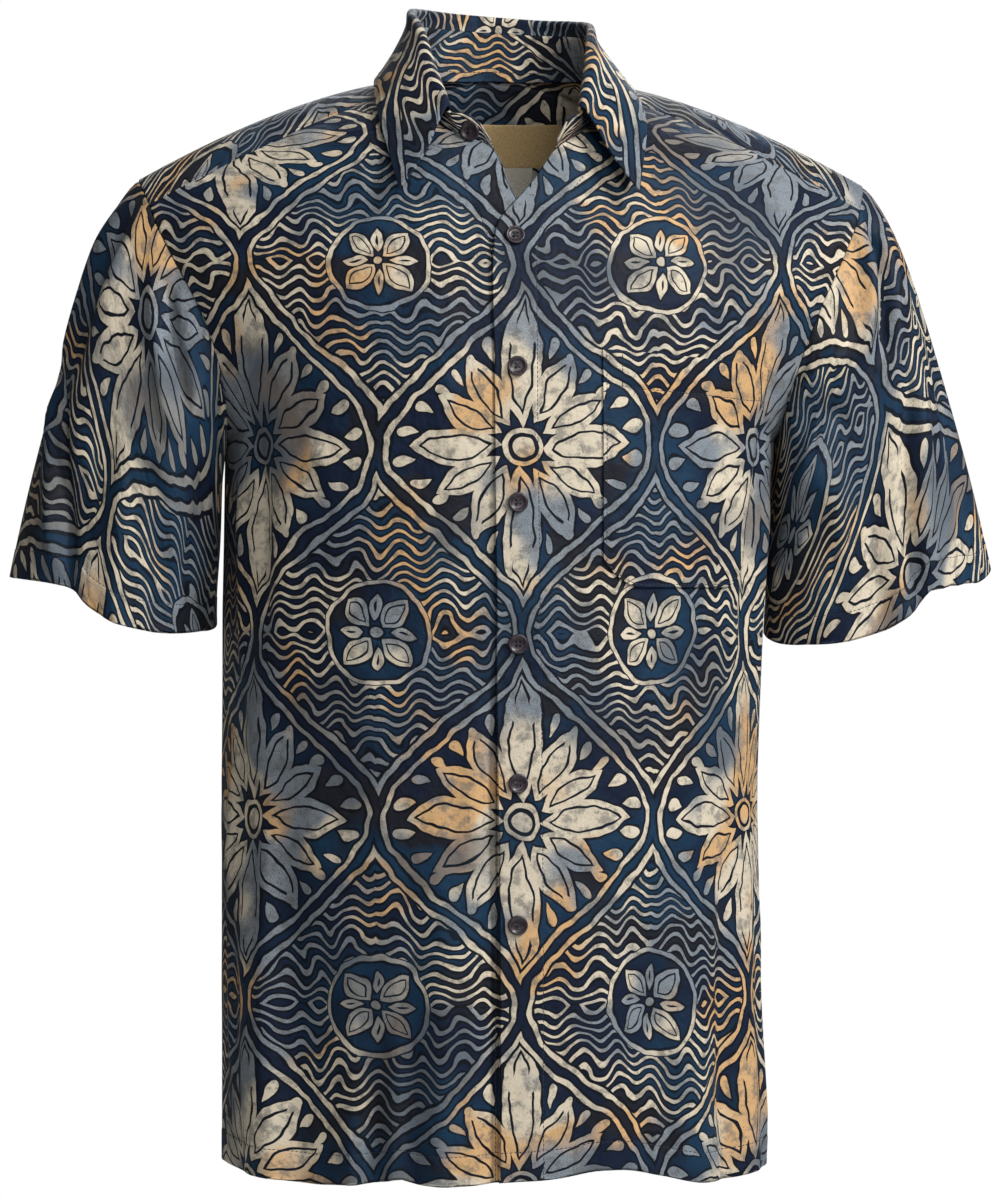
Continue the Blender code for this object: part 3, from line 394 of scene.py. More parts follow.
# Distances from a front's folded edge, from the outer edge, and up from the hem, at which the mesh has lines.
EDGE_LINES = (0, .0006, .0020, .0060, .0120, .0180, .0240, .0280, .0292, .0300, .0308, .0325, .0360)
SEAM_LINES = (.0110, .0084, .0075, .0066, .0040, .0022, .0014, .0007, 0)
HEM_LINES = (0, .0007, .0022, .0060, .0100, .0140, .0175, .0192, .0200, .0208, .0225, .0260)
PLACKET_LINE = EDGE_LINES.index(.0300)
HEM_LINE = HEM_LINES.index(.0200)
COLUMN_CELLS = 46
FRONT_ROWS, CHEST_ROWS = 100, 54
CHEST_ENDS = (.012, .007, .003)     # shares left to go at the last rows under the yoke
FrontRow = namedtuple(
    "FrontRow", "name over_x under_x in_y in_z out_x out_y out_z heading_in heading_out pull drop")
FRONT = [FrontRow(*row) for row in (
    ("hem",       -.0150, -.013, -.1410, -.7425, .1910,  .0000, -.7470,   0, 90, .62, 2.0),
    ("thigh",     -.0155, -.013, -.1460, -.6200, .1885,  .0000, -.6200,   0, 90, .62, 2.0),
    ("hip",       -.0165, -.013, -.1480, -.4800, .1885,  .0000, -.4800,   0, 90, .62, 2.0),
    ("waist",     -.0180, -.013, -.1490, -.3600, .1900,  .0000, -.3600,   0, 90, .62, 2.0),
    ("rib",       -.0190, -.013, -.1490, -.2850, .1915,  .0000, -.2900,   0, 90, .62, 2.0),
    ("underarm",  -.0195, -.013, -.1480, -.2320, .1925,  .0000, -.2450,   0, 90, .61, 2.0),
    ("scye_1",    -.0195, -.013, -.1460, -.2050, .1925, -.0360, -.2350,   0, 78, .56, 2.0),
    ("scye_2",    -.0195, -.013, -.1430, -.1760, .1955, -.0570, -.2130,   0, 62, .50, 2.0),
    ("scye_3",    -.0193, -.012, -.1380, -.1480, .2030, -.0655, -.1840,   0, 50, .45, 1.9),
    ("scye_4",    -.0185, -.011, -.1310, -.1200, .2125, -.0665, -.1580,   0, 43, .42, 1.7),
    ("vee_foot",  -.0130, -.006, -.1220, -.0960, .2225, -.0615, -.1370,   0, 38, .40, 1.5),
    ("vee_mid",    .0100, .0055, -.1100, -.0690, .2320, -.0530, -.1185,   0, 33, .38, 1.4),
    ("stand_end",  .0280, .0156, -.0980, -.0450, .2385, -.0465, -.1050,  -4, 28, .36, 1.3),
    ("neck_1",     .0490, .0465, -.0810, -.0310, .2430, -.0415, -.0950,  -8, 22, .35, 1.25),
    ("neck_2",     .0630, .0620, -.0530, -.0130, .2460, -.0380, -.0870, -11, 15, .34, 1.2),
    ("yoke_seam",  .0705, .0705, -.0220,  .0010, .2480, -.0350, -.0800, -12,  9, .33, 1.2),
)]
# Creases of all panels, large and small: the line of each through three points given by their distance from
# the centre along the cloth and their height, then how far it stands out and its half width. On a sleeve the
# points are given by their distance round from its top line, towards the front, and down from the armhole.
Crease = namedtuple("Crease", "x1 z1 x2 z2 x3 z3 height half_width")
CREASES = {
    ("front", -1): (
        (.150, -.250, .170, -.360, .190, -.490,  .0050, .020),
        (.200, -.500, .190, -.640, .180, -.800,  .0085, .017),
        (.142, -.540, .136, -.660, .130, -.800, -.0060, .018),
        (.052, -.480, .051, -.640, .050, -.800,  .0070, .016),
        (.092, -.600, .087, -.700, .082, -.800, -.0045, .016),
        (.017, -.330, .017, -.560, .017, -.800, -.0047, .006),
        (.033, -.360, .032, -.580, .031, -.800,  .0043, .009),
        (.176, -.420, .174, -.610, .166, -.800,  .0061, .009),
        (.158, -.460, .154, -.640, .148, -.800, -.0041, .010),
        (.083, -.620, .084, -.710, .084, -.800,  .0068, .007),
        (.100, -.640, .099, -.720, .098, -.800, -.0041, .008),
        (.205, -.215, .185, -.300, .178, -.395, -.0047, .009),
        (.222, -.245, .212, -.320, .207, -.420,  .0041, .008),
        (.180, -.190, .150, -.235, .120, -.290,  .0022, .008),
        (.228, -.430, .222, -.560, .226, -.700,  .0041, .009),
        (.118, -.690, .112, -.730, .108, -.800,  .0030, .007),
        (.070, -.330, .100, -.350, .135, -.345, -.0016, .009),
        (.035, -.150, .070, -.170, .110, -.205,  .0016, .010),
    ),
    ("front", 1): (
        (.088, -.540, .089, -.660, .090, -.800, -.0075, .017),
        (.132, -.560, .130, -.680, .128, -.800,  .0060, .018),
        (.195, -.440, .193, -.620, .190, -.800,  .0060, .018),
        (.206, -.215, .192, -.300, .188, -.410, -.0047, .009),
        (.224, -.250, .215, -.330, .213, -.450,  .0038, .008),
        (.110, -.660, .108, -.720, .108, -.800, -.0038, .008),
        (.168, -.520, .164, -.640, .166, -.800, -.0054, .009),
        (.226, -.520, .220, -.620, .224, -.760,  .0041, .009),
        (.055, -.640, .060, -.710, .060, -.800,  .0030, .009),
        (.150, -.150, .165, -.190, .185, -.225,  .0019, .009),
    ),
    ("back", -1): (
        (.150, -.260, .135, -.430, .120, -.620,  .0060, .022),
        (.070, -.400, .066, -.580, .062, -.800, -.0070, .020),
        (.190, -.480, .182, -.640, .175, -.800,  .0070, .018),
        (.205, -.215, .190, -.290, .180, -.380, -.0047, .009),
        (.110, -.300, .105, -.420, .098, -.560, -.0041, .010),
        (.030, -.160, .055, -.230, .070, -.320,  .0030, .010),
        (.145, -.640, .140, -.710, .138, -.800, -.0047, .009),
        (.225, -.420, .220, -.540, .224, -.700,  .0041, .009),
    ),
    ("back", 1): (
        (.155, -.250, .145, -.400, .135, -.580,  .0055, .022),
        (.040, -.480, .044, -.640, .048, -.800,  .0065, .020),
        (.105, -.440, .108, -.620, .110, -.800, -.0070, .018),
        (.190, -.540, .188, -.670, .185, -.800,  .0060, .018),
        (.207, -.220, .195, -.300, .188, -.400, -.0047, .009),
        (.085, -.210, .070, -.300, .060, -.420,  .0035, .010),
        (.150, -.600, .146, -.690, .144, -.800, -.0051, .009),
        (.075, -.600, .078, -.690, .078, -.800, -.0041, .009),
        (.226, -.460, .222, -.580, .225, -.720,  .0041, .009),
    ),
    ("sleeve", 1): (
        (.037, .001, .060, .034, .088, .078, -.0109, .008),
        (.052, .000, .080, .028, .112, .056,  .0087, .010),
        (.022, .002, .036, .040, .052, .085,  .0043, .010),
        (.058, .070, .086, .150, .096, .240, -.0072, .007),
        (.046, .080, .072, .160, .080, .240,  .0065, .011),
        (.225, .004, .160, .022, .118, .048,  .0072, .008),
        (.215, .022, .165, .042, .130, .082, -.0061, .008),
        (.205, .045, .168, .075, .140, .130,  .0052, .010),
        (.182, .080, .162, .120, .150, .190, -.0049, .011),
        (.120, .110, .124, .160, .128, .240, -.0043, .010),
        (.020, .100, .034, .160, .040, .250, -.0041, .010),
        (-.040, .004, -.066, .050, -.086, .110, -.0080, .010),
        (-.060, .006, -.092, .052, -.112, .110,  .0072, .011),
        (-.190, .010, -.150, .040, -.120, .090,  .0065, .009),
        (-.180, .040, -.150, .075, -.130, .140, -.0055, .010),
        (-.070, .100, -.080, .160, -.084, .240, -.0058, .010),
    ),
    ("sleeve", -1): (
        (.080, .245, .062, .205, .030, .130, -.0072, .008),
        (.066, .250, .046, .210, .014, .140,  .0065, .010),
        (.016, .010, .010, .070, .018, .150,  .0049, .010),
        (.036, .006, .034, .060, .044, .140, -.0049, .009),
        (.092, .006, .122, .032, .156, .052, -.0087, .008),
        (.076, .006, .108, .044, .140, .084,  .0072, .010),
        (.172, .012, .150, .060, .126, .120,  .0052, .010),
        (.190, .030, .172, .080, .158, .150, -.0055, .010),
        (.100, .110, .108, .170, .116, .240,  .0049, .011),
        (.140, .120, .142, .170, .146, .230, -.0043, .010),
        (-.038, .004, -.060, .050, -.080, .110, -.0072, .010),
        (-.060, .006, -.086, .054, -.106, .110,  .0065, .011),
        (-.185, .010, -.150, .040, -.118, .090,  .0065, .009),
        (-.070, .110, -.078, .170, -.082, .250, -.0055, .010),
        (-.120, .100, -.124, .160, -.130, .240,  .0049, .011),
    ),
}
CREASE_RISE, CREASE_FADE = 0.40, (0.82, 1.0)
SEAM_FADE = (.003, .016)
SLOW_WAVE, QUICK_WAVE = 0.0009, 0.0003
SMALL_CREASE = 0.0115     # half width up to which a crease isn't in the solids, and ends near a seam


def ease(value):
    """Rise smoothly from 0 to 1."""
    value = np.clip(value, 0.0, 1.0)
    return value * value * (3.0 - 2.0 * value)


def between(value, low, high):
    """Tell where a value lies between two others, from 0 to 1."""
    return (value - low) / (high - low)


def through(places, values, wanted):
    """Follow a smooth curve through values given at rising places."""
    places = np.asarray(places, float)
    values = np.asarray(values, float)
    slopes = np.gradient(values, places, axis=0)
    index = int(np.clip(np.searchsorted(places, wanted, side="right") - 1, 0, len(places) - 2))
    span = places[index + 1] - places[index]
    t = (wanted - places[index]) / span
    start = values[index] * (1 + 2 * t) * (1 - t) ** 2 + slopes[index] * span * t * (1 - t) ** 2
    finish = values[index + 1] * t * t * (3 - 2 * t) - slopes[index + 1] * span * t * t * (1 - t)
    return start + finish


def lengths(points):
    """Measure a line's length at each of its points."""
    steps = np.linalg.norm(np.diff(points, axis=0), axis=1)
    return np.concatenate(([0.0], np.cumsum(steps)))


def plan_curve(inner, outer, heading_in, heading_out, pull):
    """Follow a section's curve in plan, with handles that leave its ends at their headings."""
    reach = abs(outer[0] - inner[0])
    depth = abs(outer[1] - inner[1])
    handles = []
    for heading in (heading_in, heading_out):
        angle = math.radians(heading)
        across = abs(math.cos(angle))
        length = pull * (reach * across + max(depth, 0.35 * reach) * (1.0 - across))
        handles.append(np.array([math.cos(angle), math.sin(angle)]) * length)
    share = np.linspace(0.0, 1.0, 161)[:, None]
    rest = 1.0 - share
    return (inner * rest ** 3 + (inner + handles[0]) * 3 * rest * rest * share
            + (outer - handles[1]) * 3 * rest * share * share + outer * share ** 3)


def section_points(row, inner_x, edge_lines, seam_lines, cells):
    """Place points along one section: at fixed distances near its ends and evenly between them."""
    inner = np.array([max(inner_x, 0.0), row["in_y"]])
    outer = np.array([row["out_x"], row["out_y"]])
    fine = plan_curve(inner, outer, row["heading_in"], row["heading_out"], row["pull"])
    if inner_x < 0.0:
        lap = np.linspace(inner_x, 0.0, 9)[:-1]
        lap_depth = np.interp(-lap, fine[:, 0], fine[:, 1])
        fine = np.concatenate([np.stack([lap, lap_depth], axis=1), fine])
    along = lengths(fine)
    middle = np.linspace(edge_lines[-1], along[-1] - seam_lines[0], cells + 1)[1:-1]
    distances = np.concatenate([edge_lines, middle, along[-1] - np.array(seam_lines)])
    x = np.interp(distances, along, fine[:, 0])
    y = np.interp(distances, along, fine[:, 1])
    z = row["in_z"] + (row["out_z"] - row["in_z"]) * np.clip(distances / along[-1], 0, 1) ** row["drop"]
    return np.stack([x, y, z], axis=1), distances


def lofted(rows, runs, inner_column, edge_lines, seam_lines=SEAM_LINES, cells=COLUMN_CELLS):
    """Loft a half panel through its sections: points by row and column, and their distance from the centre.

    Each run follows its own sections only, so that the cloth may turn a corner between two runs.
    """
    names = [row.name for row in rows]
    fields = [field for field in rows[0]._fields if field != "name"]
    grid, across = [], []
    for first, last, shares in runs:
        run = rows[names.index(first):names.index(last) + 1]
        for place in np.asarray(shares) * (len(run) - 1.0):
            row = {field: float(through(range(len(run)), [getattr(r, field) for r in run], place))
                   for field in fields}
            points, distances = section_points(row, row[inner_column], edge_lines, seam_lines, cells)
            grid.append(points)
            across.append(distances + points[0, 0])
    return np.array(grid), np.array(across)


def shares_at(rows, first, last, low_lines, cells):
    """Spread a run's rows: at fixed distances above its first section, then evenly up to its last."""
    names = [row.name for row in rows]
    run = rows[names.index(first):names.index(last) + 1]
    places = np.linspace(0.0, len(run) - 1.0, 200)
    heights = [float(through(range(len(run)), [row.in_z for row in run], place)) for place in places]
    even = np.linspace(low_lines[-1], heights[-1] - heights[0], cells + 1)[1:-1]
    wanted = np.concatenate([low_lines, even])
    return np.interp(wanted + heights[0], heights, places / (len(run) - 1.0))


def directions(grid, outward):
    """Work out the outward direction at each point of a grid."""
    along = np.gradient(grid, axis=1)
    upward = np.gradient(grid, axis=0)
    normal = np.cross(along, upward) * outward
    return normal / np.maximum(np.linalg.norm(normal, axis=2, keepdims=True), 1e-12)


def bell(distance, half_width):
    """Shape a crease across its line, with a shallow dip on each side."""
    q = (distance / half_width) ** 2
    return np.exp(-q) * (1.0 - 0.25 * q)


def near_line(u, v, line):
    """Measure the distance from each place to a curve through three points, and where along it that is."""
    best, where = np.full(u.shape, 9.0), np.zeros(u.shape)
    t = np.linspace(0.0, 1.0, 25)[:, None]
    a, b, c = (np.array(point) for point in line)
    b = 2.0 * b - (a + c) / 2.0
    points = a * (1 - t) ** 2 + 2 * b * t * (1 - t) + c * t * t
    for k in range(24):
        start, step = points[k], points[k + 1] - points[k]
        share = np.clip(((u - start[0]) * step[0] + (v - start[1]) * step[1]) / (step @ step), 0.0, 1.0)
        distance = np.hypot(u - start[0] - share * step[0], v - start[1] - share * step[1])
        closer = distance < best
        best = np.where(closer, distance, best)
        where = np.where(closer, (k + share) / 24.0, where)
    return best, where


def crease_heights(u, v, panel, side, large_fade, small_fade):
    """Add up how far a panel's creases stand out at each place."""
    height = np.zeros(u.shape)
    for crease in [Crease(*row) for row in CREASES[panel, side]]:
        line = ((crease.x1, crease.z1), (crease.x2, crease.z2), (crease.x3, crease.z3))
        distance, where = near_line(u, v, line)
        strength = ease(where / CREASE_RISE) * ease(between(where, *CREASE_FADE[::-1]))
        fade = small_fade if crease.half_width < SMALL_CREASE else large_fade
        height += crease.height * bell(distance, crease.half_width) * strength * fade
    return height


def creased(grid, across, outward, panel, side):
    """Push a body panel's creases out or in, fading towards its seams."""
    normal = directions(grid, outward)
    z = grid[:, :, 2]
    side_fade = ease(between(across, across[:, -1:], across[:, -1:] - SIDE_FADE))
    seam_fade = ease(between(across, across[:, -1:] - SEAM_FADE[0], across[:, -1:] - SEAM_FADE[1]))
    height = crease_heights(across, z, panel, side, side_fade, seam_fade)
    # the cloth is never quite flat
    slow = np.sin(across * 47 + z * 9 + side) * np.sin(z * 23 + across * 8 + 2 * side + len(panel))
    quick = np.sin(across * 150 + np.sin(z * 18) * 1.4)
    height += (slow * SLOW_WAVE + quick * QUICK_WAVE) * seam_fade
    return grid + normal * height[:, :, None]


def leaning(grid):
    """Let the body hang a little to one side below the armpit, leaving the centre where it is."""
    lean = np.interp(grid[:, :, 2], LEAN_HEIGHTS, LEANS)
    share = np.clip(np.abs(grid[:, :, 0]) / LEAN_REACH, 0.0, 1.0) ** 2
    moved = grid.copy()
    moved[:, :, 0] += lean * share
    return moved


def hem_wave(grid, waves):
    """Let a hem rise and fall gently."""
    near_hem = ease(between(grid[:, :, 2], *HEM_WAVE_HEIGHTS))
    moved = grid.copy()
    for across, height, half_width in waves:
        moved[:, :, 2] += height * near_hem * np.exp(-((grid[:, :, 0] - across) / half_width) ** 2)
    return moved


def cloth_map(grid, across, side, offset=(0.0, 0.0)):
    """Lay the print on a panel: across by the distance from the centre, up by the length of each column."""
    along = np.gradient(grid, axis=1)
    along = along / np.linalg.norm(along, axis=2, keepdims=True)
    rise = np.linalg.norm(np.cross(np.diff(grid, axis=0), (along[1:] + along[:-1]) / 2), axis=2)
    height = np.concatenate([grid[:1, :, 2], grid[0, :, 2] + np.cumsum(rise, axis=0)])
    return np.stack([across * side + offset[0], height + offset[1]], axis=2)


def at_line(line, axis):
    """Pick out rows of a grid, or its columns."""
    return (line, slice(None)) if axis == 0 else (slice(None), line)


def pressed(grid, normal, depth, lines, axis):
    """Press rows or columns of a grid in by a depth, as a stitched line does."""
    for line in lines:
        place = at_line(line, axis)
        grid[place] -= normal[place] * depth
    return grid


def edge_marks(grid, free, seams, tube):
    """Tell which way is off the cloth along its edges, and where they are rounded and where turned in."""
    away = np.zeros(grid.shape)
    rounded = np.zeros(grid.shape[:2], bool)
    turned = np.zeros(grid.shape[:2], bool)
    for edge, (line, next_line, axis) in GRID_EDGES.items():
        if tube and axis == 1:
            continue
        place = at_line(line, axis)
        step = grid[place] - grid[at_line(next_line, axis)]
        away[place] += step / np.linalg.norm(step, axis=1, keepdims=True)
        rounded[place] |= edge in free
        turned[place] |= edge in seams
    away /= np.maximum(np.linalg.norm(away, axis=2, keepdims=True), 1e-12)
    return away, rounded & ~turned, turned


def edge_loops(rows, columns, tube):
    """Follow a grid's edges, once round a panel or round each end of a tube."""
    if tube:
        return [[(0, c) for c in range(columns)], [(rows - 1, c) for c in range(columns - 1, -1, -1)]]
    ring = [(r, columns - 1) for r in range(rows)] + [(rows - 1, c) for c in range(columns - 2, -1, -1)]
    ring += [(r, 0) for r in range(rows - 2, -1, -1)] + [(0, c) for c in range(1, columns - 1)]
    return [ring + ring[:1]]


def rim_points(outer, inner, normal, away, rounded, thick):
    """Give a rim its points between the two faces of the cloth: round a free edge, or straight at a seam."""
    half = thick[:, None] / 2
    rims = []
    for turn in RIM_TURNS:
        swing = math.radians(turn)
        soft = outer - normal * half + (normal * math.cos(swing) + away * math.sin(swing)) * half
        straight = outer + (inner - outer) * (turn / 180)
        rims.append(np.where(rounded[:, None], soft, straight))
    return rims


def quads(index):
    """List the corners of a grid's quads."""
    return np.stack([index[:-1, :-1], index[:-1, 1:], index[1:, 1:], index[1:, :-1]], axis=2).reshape(-1, 4)


def cloth_mesh(name, points, faces, corners, maps):
    """Make a mesh from points and quads, with maps given by corner, and drop the points that no quad uses."""
    mesh = bpy.data.meshes.new(name)
    mesh.from_pydata(points.tolist(), [], faces.tolist())
    for map_name, values in maps:
        layer = mesh.uv_layers.new(name=map_name)
        layer.data.foreach_set("uv", values[corners.reshape(-1)].astype(np.float32).reshape(-1))
    mesh.validate()
    edit = bmesh.new()
    edit.from_mesh(mesh)
    loose = [vertex for vertex in edit.verts if not vertex.link_faces]
    bmesh.ops.delete(edit, geom=loose, context="VERTS")
    edit.to_mesh(mesh)
    edit.free()
    mesh.shade_smooth()
    return mesh


def shell(name, grid, outward, cloth_uv, thick, free, seams, tube=False, material=CLOTH_MATERIAL):
    """Make a thin closed shell under a grid, with rounded free edges and edges that turn in at its seams."""
    rows, columns = grid.shape[:2]
    normal = directions(grid, outward)
    if tube:
        normal[:, 0] = normal[:, -1] = (normal[:, 0] + normal[:, -1]) / 2
        normal /= np.linalg.norm(normal, axis=2, keepdims=True)
    thick = np.broadcast_to(np.asarray(thick, float), (rows, columns)).copy()
    away, rounded, turned = edge_marks(grid, free, seams, tube)
    outer = grid - away * (rounded * thick / 2)[:, :, None] - normal * (turned * SEAM_GROOVE)[:, :, None]
    inner = outer - normal * np.where(turned, SEAM_TURN, thick)[:, :, None]
    # a tube's last column lies on its first: its quads share those points, and its maps keep both
    count = rows * columns
    map_index = np.arange(count).reshape(rows, columns)
    index = map_index.copy()
    if tube:
        index[:, -1] = index[:, 0]
    v, u = np.meshgrid(np.linspace(0, 1, rows), np.linspace(0, 1, columns), indexing="ij")
    face_bake = np.stack([u * .47 + .01, v * .90 + .01], axis=2).reshape(-1, 2)
    points = [outer.reshape(-1, 3), inner.reshape(-1, 3)]
    places = [cloth_uv.reshape(-1, 2)] * 2
    bake = [face_bake, face_bake + (.50, 0)]
    faces = [quads(index), quads(index)[:, ::-1] + count]
    corners = [quads(map_index), quads(map_index)[:, ::-1] + count]
    total = 2 * count
    for number, loop in enumerate(edge_loops(rows, columns, tube)):
        at = tuple(np.array(loop).T)
        size = len(loop)
        points += rim_points(outer[at], inner[at], normal[at], away[at], rounded[at], thick[at])
        places += [cloth_uv[at]] * len(RIM_TURNS)
        for k in range(len(RIM_TURNS)):
            level = np.full(size, .93 + .03 * number + .007 * k)
            bake.append(np.stack([np.linspace(.01, .99, size), level], axis=1))
        rims = [np.arange(size) + total + k * size for k in range(len(RIM_TURNS))]
        closed_rims = [np.append(rim[:-1], rim[0]) for rim in rims]
        for lines, target in (([index[at], *closed_rims, index[at] + count], faces),
                              ([map_index[at], *rims, map_index[at] + count], corners)):
            for a, b in zip(lines, lines[1:]):
                target.append(np.stack([a[1:], a[:-1], b[:-1], b[1:]], axis=1))
        total += len(RIM_TURNS) * size
    faces, corners = np.concatenate(faces), np.concatenate(corners)
    if outward < 0:
        faces, corners = faces[:, ::-1], corners[:, ::-1]
    maps = (("cloth", np.concatenate(places)), ("OFBake", np.concatenate(bake)))
    mesh = cloth_mesh(name, np.concatenate(points), faces, corners, maps)
    made = bpy.data.objects.new(name, mesh)
    mesh.materials.append(material)
    bpy.context.scene.collection.objects.link(made)
    return made, outer, normal


def placed(made, slot, *nodes):
    """Let a piece stand for its solids and move with the shirt; the slot it is given is not used."""
    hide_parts(*nodes)
    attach(made, "root")


STITCH_SPOTS = []


def sew(points, normals):
    """Note a line of stitches along points of the cloth."""
    along = lengths(points)
    count = int(along[-1] / STITCH_PITCH)
    for distance in (np.arange(count) + .5) * along[-1] / max(count, 1):
        spot = np.array([np.interp(distance, along, points[:, k]) for k in range(3)])
        ends = [np.array([np.interp(distance + shift, along, points[:, k]) for k in range(3)])
                for shift in (-STITCH_LENGTH / 2, STITCH_LENGTH / 2)]
        up = np.array([np.interp(distance, along, normals[:, k]) for k in range(3)])
        STITCH_SPOTS.append((spot + up * STITCH_LIFT, ends[1] - ends[0], up))


def threads(name, slot="cloth"):
    """Make one mesh of all the stitches noted since the last call."""
    spots = STITCH_SPOTS[:]
    STITCH_SPOTS.clear()
    centre = np.array([spot[0] for spot in spots])
    run = np.array([spot[1] for spot in spots])
    half = np.linalg.norm(run, axis=1, keepdims=True) / 2
    run = run / (2 * half)
    up = np.array([spot[2] for spot in spots])
    up = up - run * np.sum(up * run, axis=1, keepdims=True)
    up /= np.linalg.norm(up, axis=1, keepdims=True)
    across = np.cross(up, run)
    points = []
    for shift, size in ((-1.0, .35), (-.55, 1.0), (.55, 1.0), (1.0, .35)):
        for turn in (0, 90, 180, 270):
            swing = math.radians(turn)
            points.append(centre + run * half * shift
                          + across * (math.cos(swing) * size * STITCH_HALF_WIDTH)
                          + up * (math.sin(swing) * size * STITCH_HALF_HEIGHT))
    points = np.stack(points, axis=1)
    faces = [[3, 2, 1, 0], [12, 13, 14, 15]]
    for ring in range(3):
        for k in range(4):
            a, b = ring * 4 + k, ring * 4 + (k + 1) % 4
            faces.append([a, b, b + 4, a + 4])
    faces = (np.array(faces)[None] + np.arange(len(spots))[:, None, None] * 16).reshape(-1, 4)
    mesh = bpy.data.meshes.new(name)
    mesh.from_pydata(points.reshape(-1, 3).tolist(), [], faces.tolist())
    mesh.shade_smooth()
    mesh.materials.append(THREAD_MATERIAL)
    made = bpy.data.objects.new(name, mesh)
    bpy.context.scene.collection.objects.link(made)
    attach(made, "root")


def folded_band(grid, normal, thick, line, axis, first=True):
    """Thicken the cloth from an edge to a line, raise it a little and press the stitched line in."""
    place = at_line(slice(0, line + 1) if first else slice(line, None), axis)
    thick[place] = FOLDED_CLOTH
    grid[place] += normal[place] * FOLD_RISE
    return pressed(grid, normal, STITCH_PRESS, [line], axis)


fronts = {}
for side, edge_column in ((1, "over_x"), (-1, "under_x")):
    low_rows = shares_at(FRONT, "hem", "underarm", HEM_LINES, FRONT_ROWS)
    chest_shares = np.sort(np.concatenate([np.linspace(0, 1, CHEST_ROWS), 1 - np.array(CHEST_ENDS)]))
    runs = (("hem", "underarm", low_rows), ("underarm", "yoke_seam", chest_shares))
    grid, across = lofted(FRONT, runs, edge_column, EDGE_LINES)
    if side == -1:
        grid[:, :, 1] += LAP_SINK * ease(between(-grid[:, :, 0], *LAP_RAMP))
    cloth_uv = cloth_map(grid, across, side)
    grid = creased(grid, across, 1, "front", side)
    grid = hem_wave(leaning(grid * (side, 1, 1)), FRONT_HEM_WAVES)
    normal = directions(grid, side)
    thick = np.full(across.shape, BASE_CLOTH)
    grid = folded_band(grid, normal, thick, PLACKET_LINE, 1)
    grid = folded_band(grid, normal, thick, HEM_LINE, 0)
    name = "front_left" if side == 1 else "front_right"
    made, outer, normal = shell(name + "_cloth", grid, side, cloth_uv, thick, ("bottom", "inner"),
                                ("top", "outer"))
    placed(made, "cloth", name)
    fronts[side] = (outer, normal, across, len(low_rows), cloth_uv)
    sew(outer[HEM_LINE], normal[HEM_LINE])
    sew(outer[1:-1, PLACKET_LINE], normal[1:-1, PLACKET_LINE])
    threads(name + "_stitches")

# ---------------------------------------------------------------------------------------------------------
# The back, one piece of the batik cloth from hem to yoke, with no pleat. It is sewn to the fronts at the
# sides, and its hem is turned up 20 mm and stitched.
# ---------------------------------------------------------------------------------------------------------
BackRow = namedtuple(
    "BackRow", "name in_x in_y in_z out_x out_y out_z heading_in heading_out pull drop")
BACK = [BackRow(*row) for row in (
    ("hem",       .0, .1340, -.7450, .1910, .0000, -.7470, 0, -90, .62, 2.0),
    ("thigh",     .0, .1360, -.6200, .1885, .0000, -.6200, 0, -90, .62, 2.0),
    ("hip",       .0, .1340, -.4800, .1885, .0000, -.4800, 0, -90, .62, 2.0),
    ("waist",     .0, .1320, -.3600, .1900, .0000, -.3600, 0, -90, .62, 2.0),
    ("rib",       .0, .1330, -.2900, .1915, .0000, -.2900, 0, -90, .62, 2.0),
    ("underarm",  .0, .1340, -.2350, .1925, .0000, -.2450, 0, -90, .61, 2.0),
    ("scye_1",    .0, .1335, -.2050, .1925, .0360, -.2360, 0, -78, .56, 2.0),
    ("scye_2",    .0, .1310, -.1750, .1970, .0600, -.2120, 0, -60, .50, 2.0),
    ("scye_3",    .0, .1270, -.1470, .2060, .0700, -.1820, 0, -48, .45, 1.9),
    ("scye_4",    .0, .1210, -.1180, .2180, .0715, -.1530, 0, -40, .42, 1.7),
    ("yoke_seam", .0, .1130, -.0900, .2295, .0660, -.1270, 0, -34, .40, 1.6),
)]
BACK_HEM_WAVES = ((-0.196, 0.0035, 0.012), (-0.090, 0.0030, 0.034), (0.018, -0.0035, 0.030),
                  (0.112, 0.0040, 0.026))
BLADE_ROWS, BLADE_ENDS = 40, (.018, .010, .005)
CENTRE_LINES = (0, .004)
BACK_PRINT, YOKE_PRINT = (.09, .13), (.13, .06)     # where on the bolt each is cut


def whole(halves):
    """Join the two halves of a panel into one, from the wearer's right to the left."""
    left, right = halves[1], halves[-1]
    middle = (left[:, :1] + right[:, :1]) / 2
    return np.concatenate([right[:, :0:-1], middle, left[:, 1:]], axis=1)


grids, maps = {}, {}
for side in (1, -1):
    low_rows = shares_at(BACK, "hem", "underarm", HEM_LINES, FRONT_ROWS)
    blade_shares = np.sort(np.concatenate([np.linspace(0, 1, BLADE_ROWS), 1 - np.array(BLADE_ENDS)]))
    runs = (("hem", "underarm", low_rows), ("underarm", "yoke_seam", blade_shares))
    grid, across = lofted(BACK, runs, "in_x", CENTRE_LINES)
    maps[side] = cloth_map(grid, across, side, BACK_PRINT)
    grid = creased(grid, across, -1, "back", side) * (side, 1, 1)
    grids[side] = hem_wave(leaning(grid), BACK_HEM_WAVES)
back_grid = whole(grids)
normal = directions(back_grid, -1)
thick = np.full(back_grid.shape[:2], BASE_CLOTH)
back_grid = folded_band(back_grid, normal, thick, HEM_LINE, 0)
made, outer, normal = shell("back_cloth", back_grid, -1, whole(maps), thick, ("bottom",),
                            ("top", "inner", "outer"))
placed(made, "cloth", "back")
back_outer, back_low = outer, len(low_rows)
sew(outer[HEM_LINE], normal[HEM_LINE])
threads("back_stitches")

